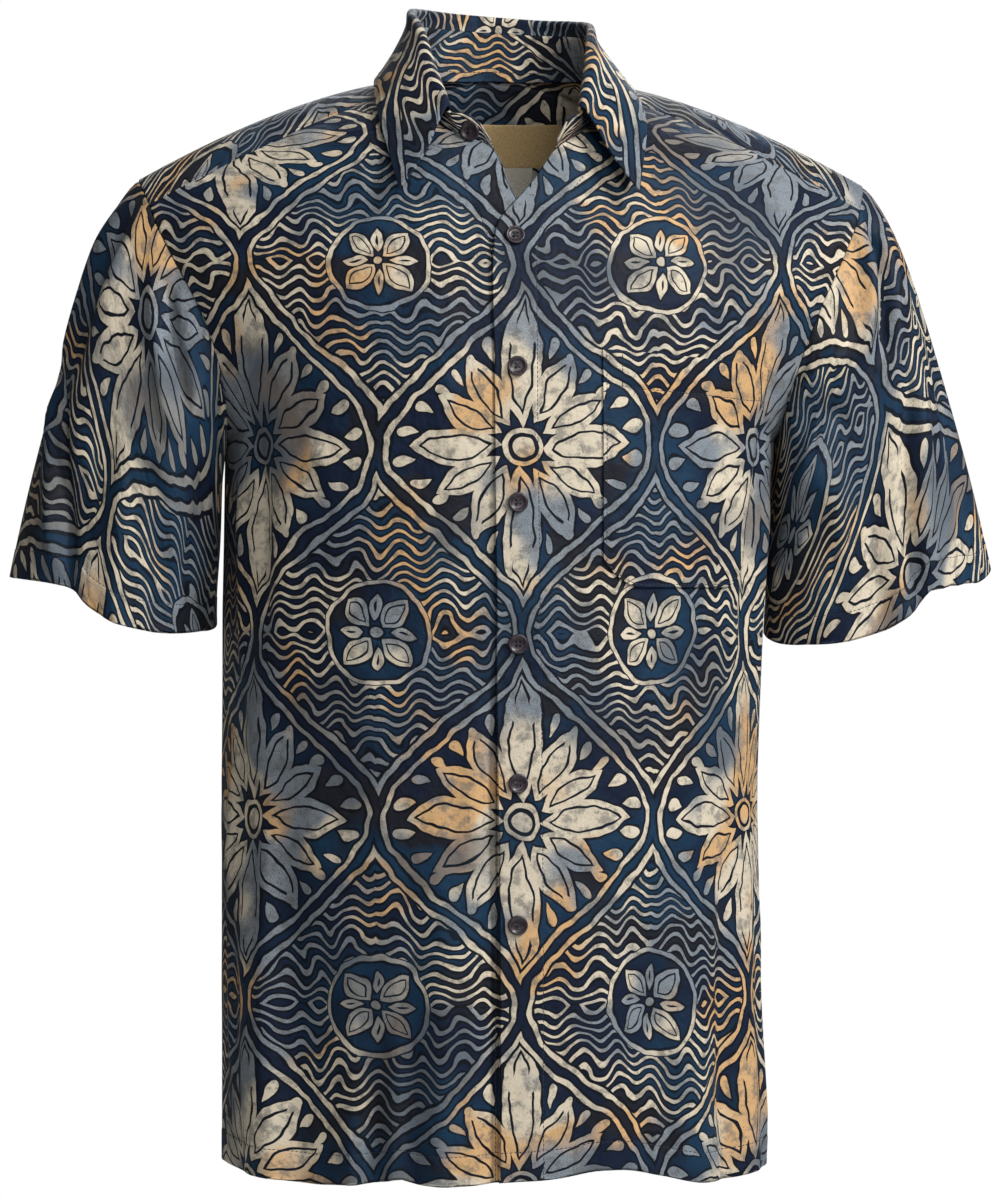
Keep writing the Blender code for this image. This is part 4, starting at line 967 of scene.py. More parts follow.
# ---------------------------------------------------------------------------------------------------------
# The yoke of the batik cloth, which lies over the shoulders from the back seam to a seam in front and carries
# the shirt. It is topstitched along both seams.
# ---------------------------------------------------------------------------------------------------------
YOKE = [BackRow(*row) for row in (
    ("yoke_seam",  .0000,  .1130, -.0900, .2295,  .0660, -.1270,   0, -34, .40, 1.6),
    ("blade",      .0000,  .1030, -.0530, .2370,  .0575, -.1100,   0, -30, .38, 1.6),
    ("nape",       .0000,  .0900, -.0140, .2430,  .0490, -.0960,   0, -25, .36, 1.5),
    ("neck_back",  .0000,  .0745,  .0200, .2475,  .0400, -.0835,   0, -20, .34, 1.5),
    ("neck_1",     .0260,  .0710,  .0190, .2515,  .0280, -.0715,  -6, -18, .33, 1.5),
    ("neck_2",     .0500,  .0540,  .0180, .2540,  .0150, -.0635,  -8, -12, .33, 1.5),
    ("neck_3",     .0650,  .0280,  .0145, .2555,  .0020, -.0600,  -8,  -6, .33, 1.5),
    ("neck_4",     .0710,  .0020,  .0090, .2540, -.0130, -.0645, -10,   0, .33, 1.4),
    ("front_seam", .0705, -.0220,  .0010, .2480, -.0350, -.0800, -12,   9, .33, 1.2),
)]
YOKE_EDGE_LINES = (0, .0006, .0014, .0030, .0060)
YOKE_LOW = (0, .006, .012, .019, .030)
yoke_runs = (
    ("yoke_seam", "neck_back", np.concatenate([YOKE_LOW, np.linspace(.06, 1, 26)])),
    ("neck_back", "front_seam", np.concatenate([np.linspace(0, .94, 34), [.965, .978, .986, .993, 1]])),
)
YOKE_BACK_STITCH, YOKE_FRONT_STITCH = 3, -4
grids, maps = {}, {}
for side in (1, -1):
    grid, across = lofted(YOKE, yoke_runs, "in_x", YOKE_EDGE_LINES)
    maps[side] = cloth_map(grid, across, side, YOKE_PRINT)
    grids[side] = grid * (side, 1, 1)
# The neck parts the yoke's front rows, so it is made as two halves that meet behind the neck.
YOKE_BEHIND = len(yoke_runs[0][2])
yoke_pieces = []
for side in (1, -1):
    made, outer, normal = shell(f"yoke_{side}", grids[side], -side, maps[side], BASE_CLOTH, (),
                                ("bottom", "top", "outer"))
    yoke_pieces.append(made)
    for line in (YOKE_BACK_STITCH, YOKE_FRONT_STITCH):
        sew(outer[line, 1:], normal[line, 1:])
    fronts["yoke", side] = outer
yoke = yoke_pieces[0]
edit = bmesh.new()
for piece in yoke_pieces:
    edit.from_mesh(piece.data)
edit.to_mesh(yoke.data)
edit.free()
bpy.data.objects.remove(yoke_pieces[1])
yoke.name = "yoke_cloth"
placed(yoke, "cloth", "yoke")
threads("yoke_stitches")

# ---------------------------------------------------------------------------------------------------------
# The two short sleeves, tubes of the batik cloth, eased a little where they are set into the armholes. Their
# hems are turned up 20 mm and stitched.
# ---------------------------------------------------------------------------------------------------------
Cuff = namedtuple("Cuff", "name side centre_x centre_z half_width half_depth tilt slope droop notch")
CUFFS = [Cuff(*row) for row in (
    ("sleeve_left",   1, .2662, -.3519, .0860, .0560, 20.1, 13, .0215,  .5),
    ("sleeve_right", -1, .2725, -.3551, .0745, .0630, 15.0, 12, .0140, 1.0),
)]
NOTCH_ANGLES = (60.0, 80.0)
# How far the front half of each hem is raised, at distances from the shirt's middle.
CUFF_TRIMS = {
    1: ((.181, .0022), (.187, .0040), (.209, .0038), (.226, .0018), (.238, .0008), (.265, .0008),
        (.271, .0019), (.2765, .0030), (.282, .0048), (.2875, .0086), (.293, .0106), (.2985, .0062),
        (.304, .0026), (.310, .0018), (.3155, -.0006), (.321, -.0018), (.327, -.0044), (.332, -.0070),
        (.338, -.0080)),
    -1: ((.206, .0040), (.2115, .0043), (.217, .0036), (.2225, .0028), (.2335, .0013), (.244, .0002),
         (.272, .0000), (.2775, .0012), (.283, .0040), (.2885, .0050), (.294, .0043), (.2995, .0046),
         (.305, .0030), (.3105, .0020), (.3215, .0014), (.3325, .0000), (.3435, -.0014)),
}
TRIM_FADE = 1.5
BACK_DROOP = 0.4
LEAVE_OUT, LEAVE_OUT_TOP, LEAVE_DEPTH, LEAVE_UP = 0.10, 0.73, 0.30, 0.42
LEAVE_PULL, ARRIVE_PULL = 0.42, 0.90
SLEEVE_CELLS, SLEEVE_ROUND, SLEEVE_FINE = 52, 145, 90     # cells down, points round and steps of each line
SLEEVE_TOP_LINES = (0, .0007, .0016, .0030)
SLEEVE_PRINT = (.095, .21)
GATHER_HEIGHT, GATHER_REACH = 0.0006, 0.05
CUFF_LINES = (.0270, .0225, .0208, .0200, .0192, .0175, .0140, .0100, .0060, .0022, .0007, 0)
CUFF_STITCH = -(len(CUFF_LINES) - CUFF_LINES.index(.0200))
SleeveFold = namedtuple("SleeveFold", "start_angle end_angle start end height half_angle")
SLEEVE_FOLDS = {
    1: (
        (38,  62,  .04, .60,  .0050,  13),
        (70,  95,  .10, .90,  -.0045, 14),
        (128, 112, .20, 1.05, .0040,  14),
        (300, 285, .10, .80,  .0050,  15),
        (240, 250, .35, 1.05, -.0045, 15),
    ),
    -1: (
        (30,  48,  .06, .60,  .0040,  14),
        (66,  58,  .45, 1.05, -.0060, 13),
        (120, 108, .30, 1.05, .0045,  15),
        (310, 290, .10, .85,  .0045,  15),
        (235, 245, .40, 1.05, -.0045, 15),
    ),
}


def armhole(side):
    """Collect the armhole's points from the underarm up the front, over the yoke and down the back."""
    front, low = fronts[side][0], fronts[side][3]
    back = back_outer[back_low:, -1 if side == 1 else 0]
    yoke_edge = fronts["yoke", side][:, -1]
    return np.concatenate([front[low:, -1], yoke_edge[::-1][1:], back[::-1][1:]])


def round_loop(points, count):
    """Spread points evenly along a line."""
    along = lengths(points)
    wanted = np.linspace(0, along[-1], count)
    return np.stack([np.interp(wanted, along, points[:, k]) for k in range(3)], axis=1)


def sleeve_line(cuff, start, angle):
    """Run one line of a sleeve from its armhole to its hem: its points, and each one's share of the way."""
    tilt, slope = math.radians(cuff.tilt), math.radians(cuff.slope)
    sideways = np.array([cuff.side * math.cos(tilt), 0.0, math.sin(tilt)])
    centre = np.array([cuff.side * cuff.centre_x, 0.0, cuff.centre_z])
    turn = math.radians(angle)
    upper = (1.0 + math.cos(turn)) / 2.0
    depth = -math.sin(turn)
    hang = cuff.droop * depth * (1.0 if depth < 0.0 else BACK_DROOP)
    hang = hang * (1.0 - cuff.notch * (1.0 - float(ease(between(angle, *NOTCH_ANGLES)))))
    finish = centre + sideways * cuff.half_width * math.cos(turn)
    finish = finish + np.array([0.0, cuff.half_depth * depth, hang])
    trim = np.interp(abs(finish[0]), *zip(*CUFF_TRIMS[cuff.side]))
    finish[2] += trim * (1.0 - ease(depth * TRIM_FADE))
    leave = np.array([cuff.side * (LEAVE_OUT + LEAVE_OUT_TOP * upper), LEAVE_DEPTH * depth,
                      LEAVE_UP * upper - 1.0])
    leave = leave / np.linalg.norm(leave)
    arrive = np.array([cuff.side * math.sin(slope) * upper, 0.0, -math.cos(slope)])
    length = float(np.linalg.norm(finish - start))
    t = np.linspace(0.0, 1.0, SLEEVE_FINE)[:, None]
    line = (start * (1 + 2 * t) * (1 - t) ** 2 + finish * t * t * (3 - 2 * t)
            + leave * length * LEAVE_PULL * t * (1 - t) ** 2
            - arrive * length * ARRIVE_PULL * t * t * (1 - t))
    down = lengths(line)
    plain = np.linspace(SLEEVE_TOP_LINES[-1], down[-1] - CUFF_LINES[0], SLEEVE_CELLS + 1)[1:-1]
    wanted = np.concatenate([SLEEVE_TOP_LINES, plain, down[-1] - np.array(CUFF_LINES)])
    return np.stack([np.interp(wanted, down, line[:, k]) for k in range(3)], axis=1), wanted / down[-1]


for cuff in CUFFS:
    loop = round_loop(armhole(cuff.side), SLEEVE_ROUND)
    loop[-1] = loop[0]
    top = int(np.argmax(loop[:, 2]))
    along = lengths(loop)
    rising = 180.0 * (1.0 - along / along[top])
    falling = 180.0 + 180.0 * (along[-1] - along) / (along[-1] - along[top])
    angles = np.where(along <= along[top], rising, falling)
    grid, downs = zip(*[sleeve_line(cuff, start, angle) for start, angle in zip(loop, angles)])
    grid = np.array(grid).transpose(1, 0, 2)
    downs = np.array(downs).T
    # the print runs round from the top line and down along each line
    round_map = np.array([lengths(row) for row in grid])
    round_map = round_map - round_map[:, top:top + 1]
    down_map = np.array([lengths(grid[:, c]) for c in range(grid.shape[1])]).T
    cloth_uv = np.stack([round_map * cuff.side + SLEEVE_PRINT[0], SLEEVE_PRINT[1] * cuff.side - down_map],
                        axis=2)
    normal = directions(grid, -cuff.side)
    normal[:, 0] = normal[:, -1] = (normal[:, 0] + normal[:, -1]) / 2
    height = np.zeros(downs.shape)
    for fold in [SleeveFold(*row) for row in SLEEVE_FOLDS[cuff.side]]:
        place = between(downs, fold.start, fold.end)
        centre_angle = fold.start_angle + (fold.end_angle - fold.start_angle) * place
        off = (angles[None, :] - centre_angle + 180.0) % 360.0 - 180.0
        strength = ease(place * 3.0) * ease((1.25 - place) * 4.0)
        height += fold.height * strength * np.exp(-(off / fold.half_angle) ** 2)
    turn = np.radians(angles)[None, :]
    gathers = np.sin(turn * 31 + 3 * np.sin(turn * 3)) * np.exp(-downs / GATHER_REACH) * ease(downs / .02)
    height += gathers * GATHER_HEIGHT + np.sin(turn * 5 + downs * 9) * .0005 * ease(downs * 5)
    height += crease_heights(-round_map, down_map, "sleeve", cuff.side, 1.0, ease(down_map / .006))
    grid = grid + normal * height[:, :, None]
    grid[:, -1] = grid[:, 0]
    thick = np.full(downs.shape, BASE_CLOTH)
    grid = folded_band(grid, normal, thick, grid.shape[0] + CUFF_STITCH, 0, first=False)
    made, outer, normal = shell(cuff.name + "_cloth", grid, -cuff.side, cloth_uv, thick, ("top",),
                                ("bottom",), tube=True)
    placed(made, "cloth", cuff.name)
    sew(outer[CUFF_STITCH], normal[CUFF_STITCH])
    threads(cuff.name + "_stitches")

# ---------------------------------------------------------------------------------------------------------
# The collar, two layers of the batik cloth with a stiffening between them: a stand sewn round the neck and a
# leaf that turns down over it. The leaf is topstitched 6 mm from its edge, and the stand along its foot.
# ---------------------------------------------------------------------------------------------------------
CollarRow = namedtuple("CollarRow", "place roll_x roll_y roll_z edge_x edge_y edge_z bow shift sink tip")
COLLAR = [CollarRow(*row) for row in (
    (.00, .0000,  .0775,  .0685, .0000,  .1010,  .0180, .0040,  .0000, .0035, .0000),
    (.20, .0310,  .0720,  .0680, .0390,  .0945,  .0170, .0040,  .0000, .0035, .0022),
    (.38, .0530,  .0500,  .0660, .0660,  .0700,  .0165, .0020, -.0005, .0035, .0037),
    (.54, .0620,  .0200,  .0605, .0835,  .0330,  .0150,-.0020, -.0010, .0033, .0040),
    (.70, .0580, -.0180,  .0440, .0900, -.0160,  .0050, .0000, -.0010, .0020, .0025),
    (.86, .0525, -.0570,  .0130, .0910, -.0760, -.0290, .0045,  .0010, .0005, .0005),
    (1.0, .0472, -.0890, -.0180, .0815, -.1230, -.0772, .0050,  .0005, .0000, .0000),
)]
LeafPoint = namedtuple("LeafPoint", "fall bow out up widen")
LEAF_PROFILE = [LeafPoint(*row) for row in (
    (.00, 0.0, .0022, .0010, .0042),
    (.16, 1.0, .0018, .0000, .0065),
    (.52, 1.0, .0000, .0012, .0088),
    (.76, 0.7, .0000, .0006, .0064),
    (1.0, 0.0, .0000, .0000, .0006),
)]
WIDEN_ROLL, WIDEN_FROM, WIDEN_TOWARDS = 0.0030, 0.80, (-0.816, -0.557, -0.155)
STAND_SHARE = 0.78
STAND_END = (.0060, .0020, .0200)
STAND_START, LEAF_START = 9 / 13, 10 / 13     # shares of the way up the chest where the two begin
STAND_SHARES = np.concatenate([[0, .03, .10, .20], np.linspace(.3, 1, 10)])
STAND_ROUND_FROM, STAND_ROUND_SPAN, STAND_LEAST = 0.62, 0.40, 0.12
COLLAR_COLUMNS = 120
COLLAR_THICK = 0.0016
STAND_FLAT_HEIGHT, STAND_PRINT, LEAF_PRINT = 0.045, (.03, .40), (.095, -.09)
STAND_INSIDE_LIFT, LEAF_PRESS = 0.00005, 0.0003
LEAF_LINES, LEAF_FOOT_LINES = 34, np.linspace(0, .0135, 12)
LEAF_EDGE_LINES = (.0095, .0068, .0060, .0052, .0030, .0012, 0)
LEAF_STITCH = LEAF_EDGE_LINES.index(.0060) - len(LEAF_EDGE_LINES)
LEAF_STITCH_FROM, LEAF_INSET = 14, 3

halves, tails = [], {}
for side in (1, -1):
    edge = fronts[side][0][fronts[side][3]:, 0]
    begin, leaf_begin = (np.array([np.interp(share, chest_shares, edge[:, k]) for k in range(3)])
                         for share in (STAND_START, LEAF_START))
    above = edge[chest_shares > STAND_START + .004]
    yoke_edge = fronts["yoke", side][YOKE_BEHIND:, 0]
    halves.append(round_loop(np.concatenate([[begin], above, yoke_edge[::-1][1:]]), COLLAR_COLUMNS // 2 + 1))
    tails[side] = float(np.linalg.norm(leaf_begin - begin))
seam = np.concatenate([halves[0], halves[1][::-1][1:]])
middle = COLLAR_COLUMNS // 2
along = lengths(seam)
reach = {1: along[middle] - tails[1], -1: along[-1] - along[middle] - tails[-1]}
places = []
for k, distance in enumerate(along):
    side = 1 if k <= middle else -1
    places.append((side, abs(distance - along[middle]) / reach[side], seam[k]))


def collar_row(side, place):
    """Give the collar's roll point, edge point and bow at one place."""
    row = CollarRow(place, *through([r.place for r in COLLAR], [r[1:] for r in COLLAR], min(place, 1.0)))
    roll = np.array([side * row.roll_x, row.roll_y, row.roll_z - row.sink - side * row.tip])
    edge = np.array([side * row.edge_x + row.shift, row.edge_y, row.edge_z])
    return roll, edge, row.bow


stand = []
for side, place, bottom in places:
    roll = collar_row(side, place)[0]
    top = bottom + (roll - bottom) * STAND_SHARE
    if place > 1.0:
        beyond = (place - 1.0) * reach[side] / tails[side]
        end = bottom + np.array([side * STAND_END[0], *STAND_END[1:]])
        top = top + (end - top) * min(beyond, 1.0)
        curve = max(0.0, (beyond - STAND_ROUND_FROM) / STAND_ROUND_SPAN)
        top = bottom + (top - bottom) * max(math.sqrt(max(0.0, 1.0 - curve ** 2)), STAND_LEAST)
    stand.append([bottom + (top - bottom) * share for share in STAND_SHARES])
stand = np.array(stand).transpose(1, 0, 2)
stand_up = (STAND_SHARES * STAND_FLAT_HEIGHT)[:, None] + STAND_PRINT[1]
stand_uv = np.stack(np.broadcast_arrays(along[None, :] + STAND_PRINT[0], stand_up), axis=2)
made, outer, normal = shell("collar_stand_cloth", stand, 1, stand_uv, COLLAR_THICK, ("inner", "outer"),
                            ("bottom", "top"))
placed(made, "cloth", "collar_stand")
stand_outer, stand_normal = outer, normal
stand_inside = outer - normal * (COLLAR_THICK + STAND_INSIDE_LIFT)
sew(outer[2], normal[2])
sew(stand_inside[3, 2:-2], -normal[3, 2:-2])
threads("collar_stand_stitches")

leaf = []
spread = np.concatenate([np.linspace(tails[1], along[middle], middle + 1),
                         np.linspace(along[middle], along[-1] - tails[-1], middle + 1)[1:]])
leaf_seam = np.stack([np.interp(spread, along, seam[:, k]) for k in range(3)], axis=1)
leaf_along = lengths(leaf_seam)
for k, bottom in enumerate(leaf_seam):
    side = 1 if k <= middle else -1
    half = abs(leaf_along[0 if side == 1 else -1] - leaf_along[middle])
    place = abs(leaf_along[k] - leaf_along[middle]) / half
    roll, edge, bow = collar_row(side, place)
    foot = bottom + (roll - bottom) * STAND_SHARE
    fall = edge - roll
    flat = np.array([fall[0], fall[1], 0.0])
    flat = flat / np.linalg.norm(flat)
    upward = np.array([0.0, 0.0, 1.0])
    near_end = float(ease(between(place, WIDEN_FROM, 1.0)))
    widen = np.array([side * WIDEN_TOWARDS[0], *WIDEN_TOWARDS[1:]]) * near_end
    line = [foot, foot + (roll - foot) * .55, roll + widen * WIDEN_ROLL]
    for point in LEAF_PROFILE:
        out = flat * (point.out + bow * point.bow) + widen * point.widen
        line.append(roll + fall * point.fall + out + upward * point.up)
    line = np.array(line)
    down = lengths(line)
    ends = down[-1] - np.array(LEAF_EDGE_LINES)
    plain = np.linspace(LEAF_FOOT_LINES[-1], ends[0], LEAF_LINES)[1:-1]
    wanted = np.concatenate([LEAF_FOOT_LINES, plain, ends])
    leaf.append([through(down, line, distance) for distance in wanted])
leaf = np.array(leaf).transpose(1, 0, 2)
leaf_down = np.array([lengths(leaf[:, c]) for c in range(leaf.shape[1])]).T
leaf_round = np.broadcast_to(leaf_along[None, :] + LEAF_PRINT[1], leaf_down.shape)
leaf_uv = np.stack([LEAF_PRINT[0] - leaf_down, leaf_round], axis=2)
normal = directions(leaf, 1)
leaf = pressed(leaf, normal, LEAF_PRESS, [LEAF_STITCH], 0)
made, outer, normal = shell("collar_leaf_cloth", leaf, 1, leaf_uv, COLLAR_THICK, ("top", "inner", "outer"),
                            ("bottom",))
placed(made, "cloth", "collar_leaf")
sew(outer[LEAF_STITCH, LEAF_INSET:-LEAF_INSET], normal[LEAF_STITCH, LEAF_INSET:-LEAF_INSET])
fall = slice(LEAF_STITCH_FROM, LEAF_STITCH + 1)
for column in (LEAF_INSET, -1 - LEAF_INSET):
    sew(outer[fall, column], normal[fall, column])
threads("collar_leaf_stitches")

# ---------------------------------------------------------------------------------------------------------
# The chest pocket on the wearer's left, a patch of the batik cloth cut to match the print under it. Its top
# is turned down and stitched, its other three sides are stitched to the front, and a small stitched box
# holds each top corner.
# ---------------------------------------------------------------------------------------------------------
POCKET_TOP, POCKET_BOTTOM = -0.1846, -0.3445
POCKET_LEFT = 0.0545
POCKET_RIGHT_TOP, POCKET_RIGHT_BOTTOM = 0.1750, 0.1560
POCKET_SLOPE = 0.0095
POCKET_CORNER, POCKET_CORNER_SHARE = 0.018, 0.22
POCKET_SPREAD = 1.25
POCKET_LIFT, POCKET_SLACK = 0.0010, 0.0012
POCKET_HEM = 0.843                 # level of the top hem's stitches
POCKET_INSET = 2                   # rows and columns from the edge to the stitches
POCKET_SLIP = (.0022, -.0016)      # how far its print misses the print under it
POCKET_TACKS = (5, -6)             # columns of the stitched boxes that hold its top corners
POCKET_SHARES = np.concatenate([[0, .006, .018, .030], np.linspace(.06, .94, 30), [.970, .982, .994, 1]])
POCKET_LEVELS = np.concatenate([[0, .005, .013, .022], np.linspace(.05, .80, 26),
                                [.835, .843, .850, .90, .95, .985, .995, 1]])


def on_grid(grid, row, column):
    """Read a grid's values between its points."""
    r, c = int(min(row, grid.shape[0] - 2)), int(min(column, grid.shape[1] - 2))
    s, t = row - r, column - c
    return (grid[r, c] * (1 - s) * (1 - t) + grid[r + 1, c] * s * (1 - t)
            + grid[r, c + 1] * (1 - s) * t + grid[r + 1, c + 1] * s * t)


def place_on(grid, x, z):
    """Find the row and column of a grid where its surface has the given x and z."""
    r, c = np.unravel_index(np.argmin((grid[:, :, 0] - x) ** 2 + (grid[:, :, 2] - z) ** 2), grid.shape[:2])
    row, column = float(r), float(c)
    for _ in range(12):
        r, c = int(np.clip(row, 0, grid.shape[0] - 2)), int(np.clip(column, 0, grid.shape[1] - 2))
        here = on_grid(grid, row, column)
        right = (grid[r, c + 1] - grid[r, c] + grid[r + 1, c + 1] - grid[r + 1, c]) / 2
        above = (grid[r + 1, c] - grid[r, c] + grid[r + 1, c + 1] - grid[r, c + 1]) / 2
        matrix = np.array([[right[0], above[0]], [right[2], above[2]]])
        step = np.clip(np.linalg.solve(matrix, np.array([x - here[0], z - here[2]])), -.8, .8)
        column = float(np.clip(column + step[0], 0.0, grid.shape[1] - 1.001))
        row = float(np.clip(row + step[1], 0.0, grid.shape[0] - 1.001))
    return row, column


front_outer, front_normal, front_uv = fronts[1][0], fronts[1][1], fronts[1][4]
pocket, pocket_uv = [], []
for level in POCKET_LEVELS:
    pocket.append([])
    pocket_uv.append([])
    for share in POCKET_SHARES:
        right = POCKET_RIGHT_BOTTOM + (POCKET_RIGHT_TOP - POCKET_RIGHT_BOTTOM) * level
        x = POCKET_LEFT + (right - POCKET_LEFT) * (1.0 - (1.0 - share) ** POCKET_SPREAD)
        corner = max(0.0, 1.0 - min(share, 1.0 - share) / POCKET_CORNER_SHARE) ** 2
        low = POCKET_BOTTOM + POCKET_CORNER * corner
        z = low + (POCKET_TOP - POCKET_SLOPE * share - low) * level
        spot = place_on(front_outer, x, z)
        point, up = on_grid(front_outer, *spot), on_grid(front_normal, *spot)
        slack = POCKET_SLACK * math.sin(math.pi * share) * ease(between(level, .55, 1.0))
        pocket[-1].append(point + up * (POCKET_LIFT + BASE_CLOTH + float(slack)))
        pocket_uv[-1].append(on_grid(front_uv, *spot) + POCKET_SLIP)
pocket, pocket_uv = np.array(pocket), np.array(pocket_uv)
normal = directions(pocket, 1)
hem_row = int(np.argmin(np.abs(POCKET_LEVELS - POCKET_HEM)))
pocket_sides = (POCKET_INSET, -1 - POCKET_INSET)
pocket = pressed(pocket, normal, STITCH_PRESS, [POCKET_INSET, hem_row], 0)
pocket = pressed(pocket, normal, STITCH_PRESS, pocket_sides, 1)
made, outer, normal = shell("pocket_cloth", pocket, 1, pocket_uv, BASE_CLOTH,
                            ("top", "bottom", "inner", "outer"), ())
placed(made, "cloth", "pocket")
for column in pocket_sides:
    sew(outer[POCKET_INSET:, column], normal[POCKET_INSET:, column])
for line in (POCKET_INSET, hem_row):
    sew(outer[line, POCKET_INSET:-POCKET_INSET], normal[line, POCKET_INSET:-POCKET_INSET])
for column in POCKET_TACKS:
    sew(outer[hem_row:-POCKET_INSET, column], normal[hem_row:-POCKET_INSET, column])
threads("pocket_stitches")

# ---------------------------------------------------------------------------------------------------------
# The neck label, of tan woven satin folded under at its ends, and the pale care tab that hangs under it. Both
# are bare and are sewn to the inside of the yoke, behind the neck.
# ---------------------------------------------------------------------------------------------------------
TAN, PALE = (.66, .46, .21), (.76, .71, .60)
LABEL_CENTRE, LABEL_WIDTH = 0.017, 0.064
LABEL_TOP, LABEL_BOTTOM = -0.009, -0.039
TAB_WIDTH, TAB_BOTTOM = 0.026, -0.064
TAB_OVERLAP = 0.003
LABEL_THICKNESS, LABEL_LIFT, TAB_LIFT = 0.0007, 0.0004, 0.0001
LABEL_ROWS, LABEL_COLUMNS = 13, 25
LABEL_THREADS, LABEL_ROUGHNESS, LABEL_RELIEF = 1.6, 0.5, 0.0002
# how much of the label's colour is left in the painted shade between its threads
SHADED_SHARE = 0.70


def woven(name, colour):
    """Make the material of a woven label, with painted shade where its weave lies low."""
    made, shader = new_material(name, LABEL_ROUGHNESS, colour)
    height = weave(CROSSED_THREADS, print_place(), LABEL_THREADS)
    # painted shade: the colour goes darker in the hollows between the raised threads
    hollow_shade_colour = tuple(value * SHADED_SHARE for value in colour)
    plug(shader.inputs["Base Color"], mixed(step_up(height, .35, .75), hollow_shade_colour, colour))
    bumped(shader, height, LABEL_RELIEF, .5)
    return made


yoke_left = fronts["yoke", 1][:YOKE_BEHIND]
yoke_normal = directions(yoke_left, -1)
for name, width, top, bottom, lift, colour, slot in (
        ("neck_label", LABEL_WIDTH, LABEL_TOP, LABEL_BOTTOM, LABEL_LIFT, TAN, "label"),
        ("care_tab", TAB_WIDTH, LABEL_BOTTOM + TAB_OVERLAP, TAB_BOTTOM, TAB_LIFT, PALE, "tab")):
    grid, label_uv = [], []
    for z in np.linspace(bottom, top, LABEL_ROWS):
        grid.append([])
        label_uv.append([])
        for x in np.linspace(LABEL_CENTRE - width / 2, LABEL_CENTRE + width / 2, LABEL_COLUMNS):
            spot = place_on(yoke_left, abs(x), z)
            point = on_grid(yoke_left, *spot) - on_grid(yoke_normal, *spot) * (BASE_CLOTH + lift)
            grid[-1].append(point * (math.copysign(1.0, x), 1, 1))
            label_uv[-1].append((x, z))
    grid = np.array(grid)
    made, outer, normal = shell(name + "_woven", grid, 1, np.array(label_uv), LABEL_THICKNESS,
                                ("top", "bottom", "inner", "outer"), (),
                                material=woven(name + "_weave", colour))
    placed(made, slot, name)
    top - bottom

# ---------------------------------------------------------------------------------------------------------
# The seven buttons, turned from dark polyester with a raised rim and four holes. Six close the front and one
# is on the stand, and each is sewn on with a cross of navy thread.
# ---------------------------------------------------------------------------------------------------------
BUTTON_RADIUS, BUTTON_THICKNESS = 0.0067, 0.0028
BUTTON_HOLE_RADIUS, BUTTON_HOLE_SPREAD = 0.00085, 0.0013
BUTTON_X = -0.003
BUTTON_HEIGHTS = (-0.1077, -0.1964, -0.2877, -0.3823, -0.4756, -0.5703)
BUTTON_COLOUR, BUTTON_SWIRL = (.020, .013, .019), (.040, .028, .034)
# The turned outline from the middle out and round to the underside, in shares of the radius and thickness.
BUTTON_PROFILE = ((0, .58), (.42, .58), (.55, .60), (.66, .70), (.76, .92), (.83, 1.0), (.90, .98),
                  (.96, .88), (1.0, .66), (.995, .45), (.95, .20), (.88, .04), (.80, 0), (0, 0))
BUTTON_SIDES, HOLE_SIDES = 48, 14
BUTTON_GAP = 0.0003
THREAD_APART, THREAD_LEVEL = 0.0002, 0.60


def button_mesh():
    """Turn the button and cut its holes."""
    edit = bmesh.new()
    points = [edit.verts.new((r * BUTTON_RADIUS, 0.0, h * BUTTON_THICKNESS)) for r, h in BUTTON_PROFILE]
    edges = [edit.edges.new(pair) for pair in zip(points, points[1:])]
    bmesh.ops.spin(edit, geom=points + edges, angle=2 * math.pi, steps=BUTTON_SIDES, axis=(0, 0, 1),
                   cent=(0, 0, 0))
    bmesh.ops.remove_doubles(edit, verts=edit.verts, dist=1e-6)
    bmesh.ops.recalc_face_normals(edit, faces=edit.faces)
    body_mesh = bpy.data.meshes.new("button_body")
    edit.to_mesh(body_mesh)
    edit.free()
    edit = bmesh.new()
    for x in (-1, 1):
        for y in (-1, 1):
            spot = (x * BUTTON_HOLE_SPREAD, y * BUTTON_HOLE_SPREAD, BUTTON_THICKNESS / 2)
            bmesh.ops.create_cone(edit, cap_ends=True, segments=HOLE_SIDES, radius1=BUTTON_HOLE_RADIUS,
                                  radius2=BUTTON_HOLE_RADIUS, depth=BUTTON_THICKNESS * 3,
                                  matrix=Matrix.Translation(spot))
    holes_mesh = bpy.data.meshes.new("button_holes")
    edit.to_mesh(holes_mesh)
    edit.free()
    body = bpy.data.objects.new("button_body", body_mesh)
    holes = bpy.data.objects.new("button_holes", holes_mesh)
    for item in (body, holes):
        bpy.context.scene.collection.objects.link(item)
    cut = body.modifiers.new("Holes", "BOOLEAN")
    cut.object = holes
    cut.operation = "DIFFERENCE"
    bpy.context.view_layer.update()
    made = bpy.data.meshes.new_from_object(body.evaluated_get(bpy.context.evaluated_depsgraph_get()))
    for item in (body, holes):
        bpy.data.objects.remove(item)
    # the cut's points and faces come in no fixed order, so they are sorted to be the same each time
    spots = [[round(value, 7) for value in vertex.co] for vertex in made.vertices]
    order = sorted(range(len(spots)), key=spots.__getitem__)
    rank = {old: new for new, old in enumerate(order)}
    faces = []
    for face in made.polygons:
        ring = [rank[k] for k in face.vertices]
        first = ring.index(min(ring))
        faces.append(ring[first:] + ring[:first])
    turned = bpy.data.meshes.new("button_turned")
    turned.from_pydata([made.vertices[k].co for k in order], [], sorted(faces))
    turned.shade_smooth()
    turned.set_sharp_from_angle(angle=math.radians(38))
    return turned


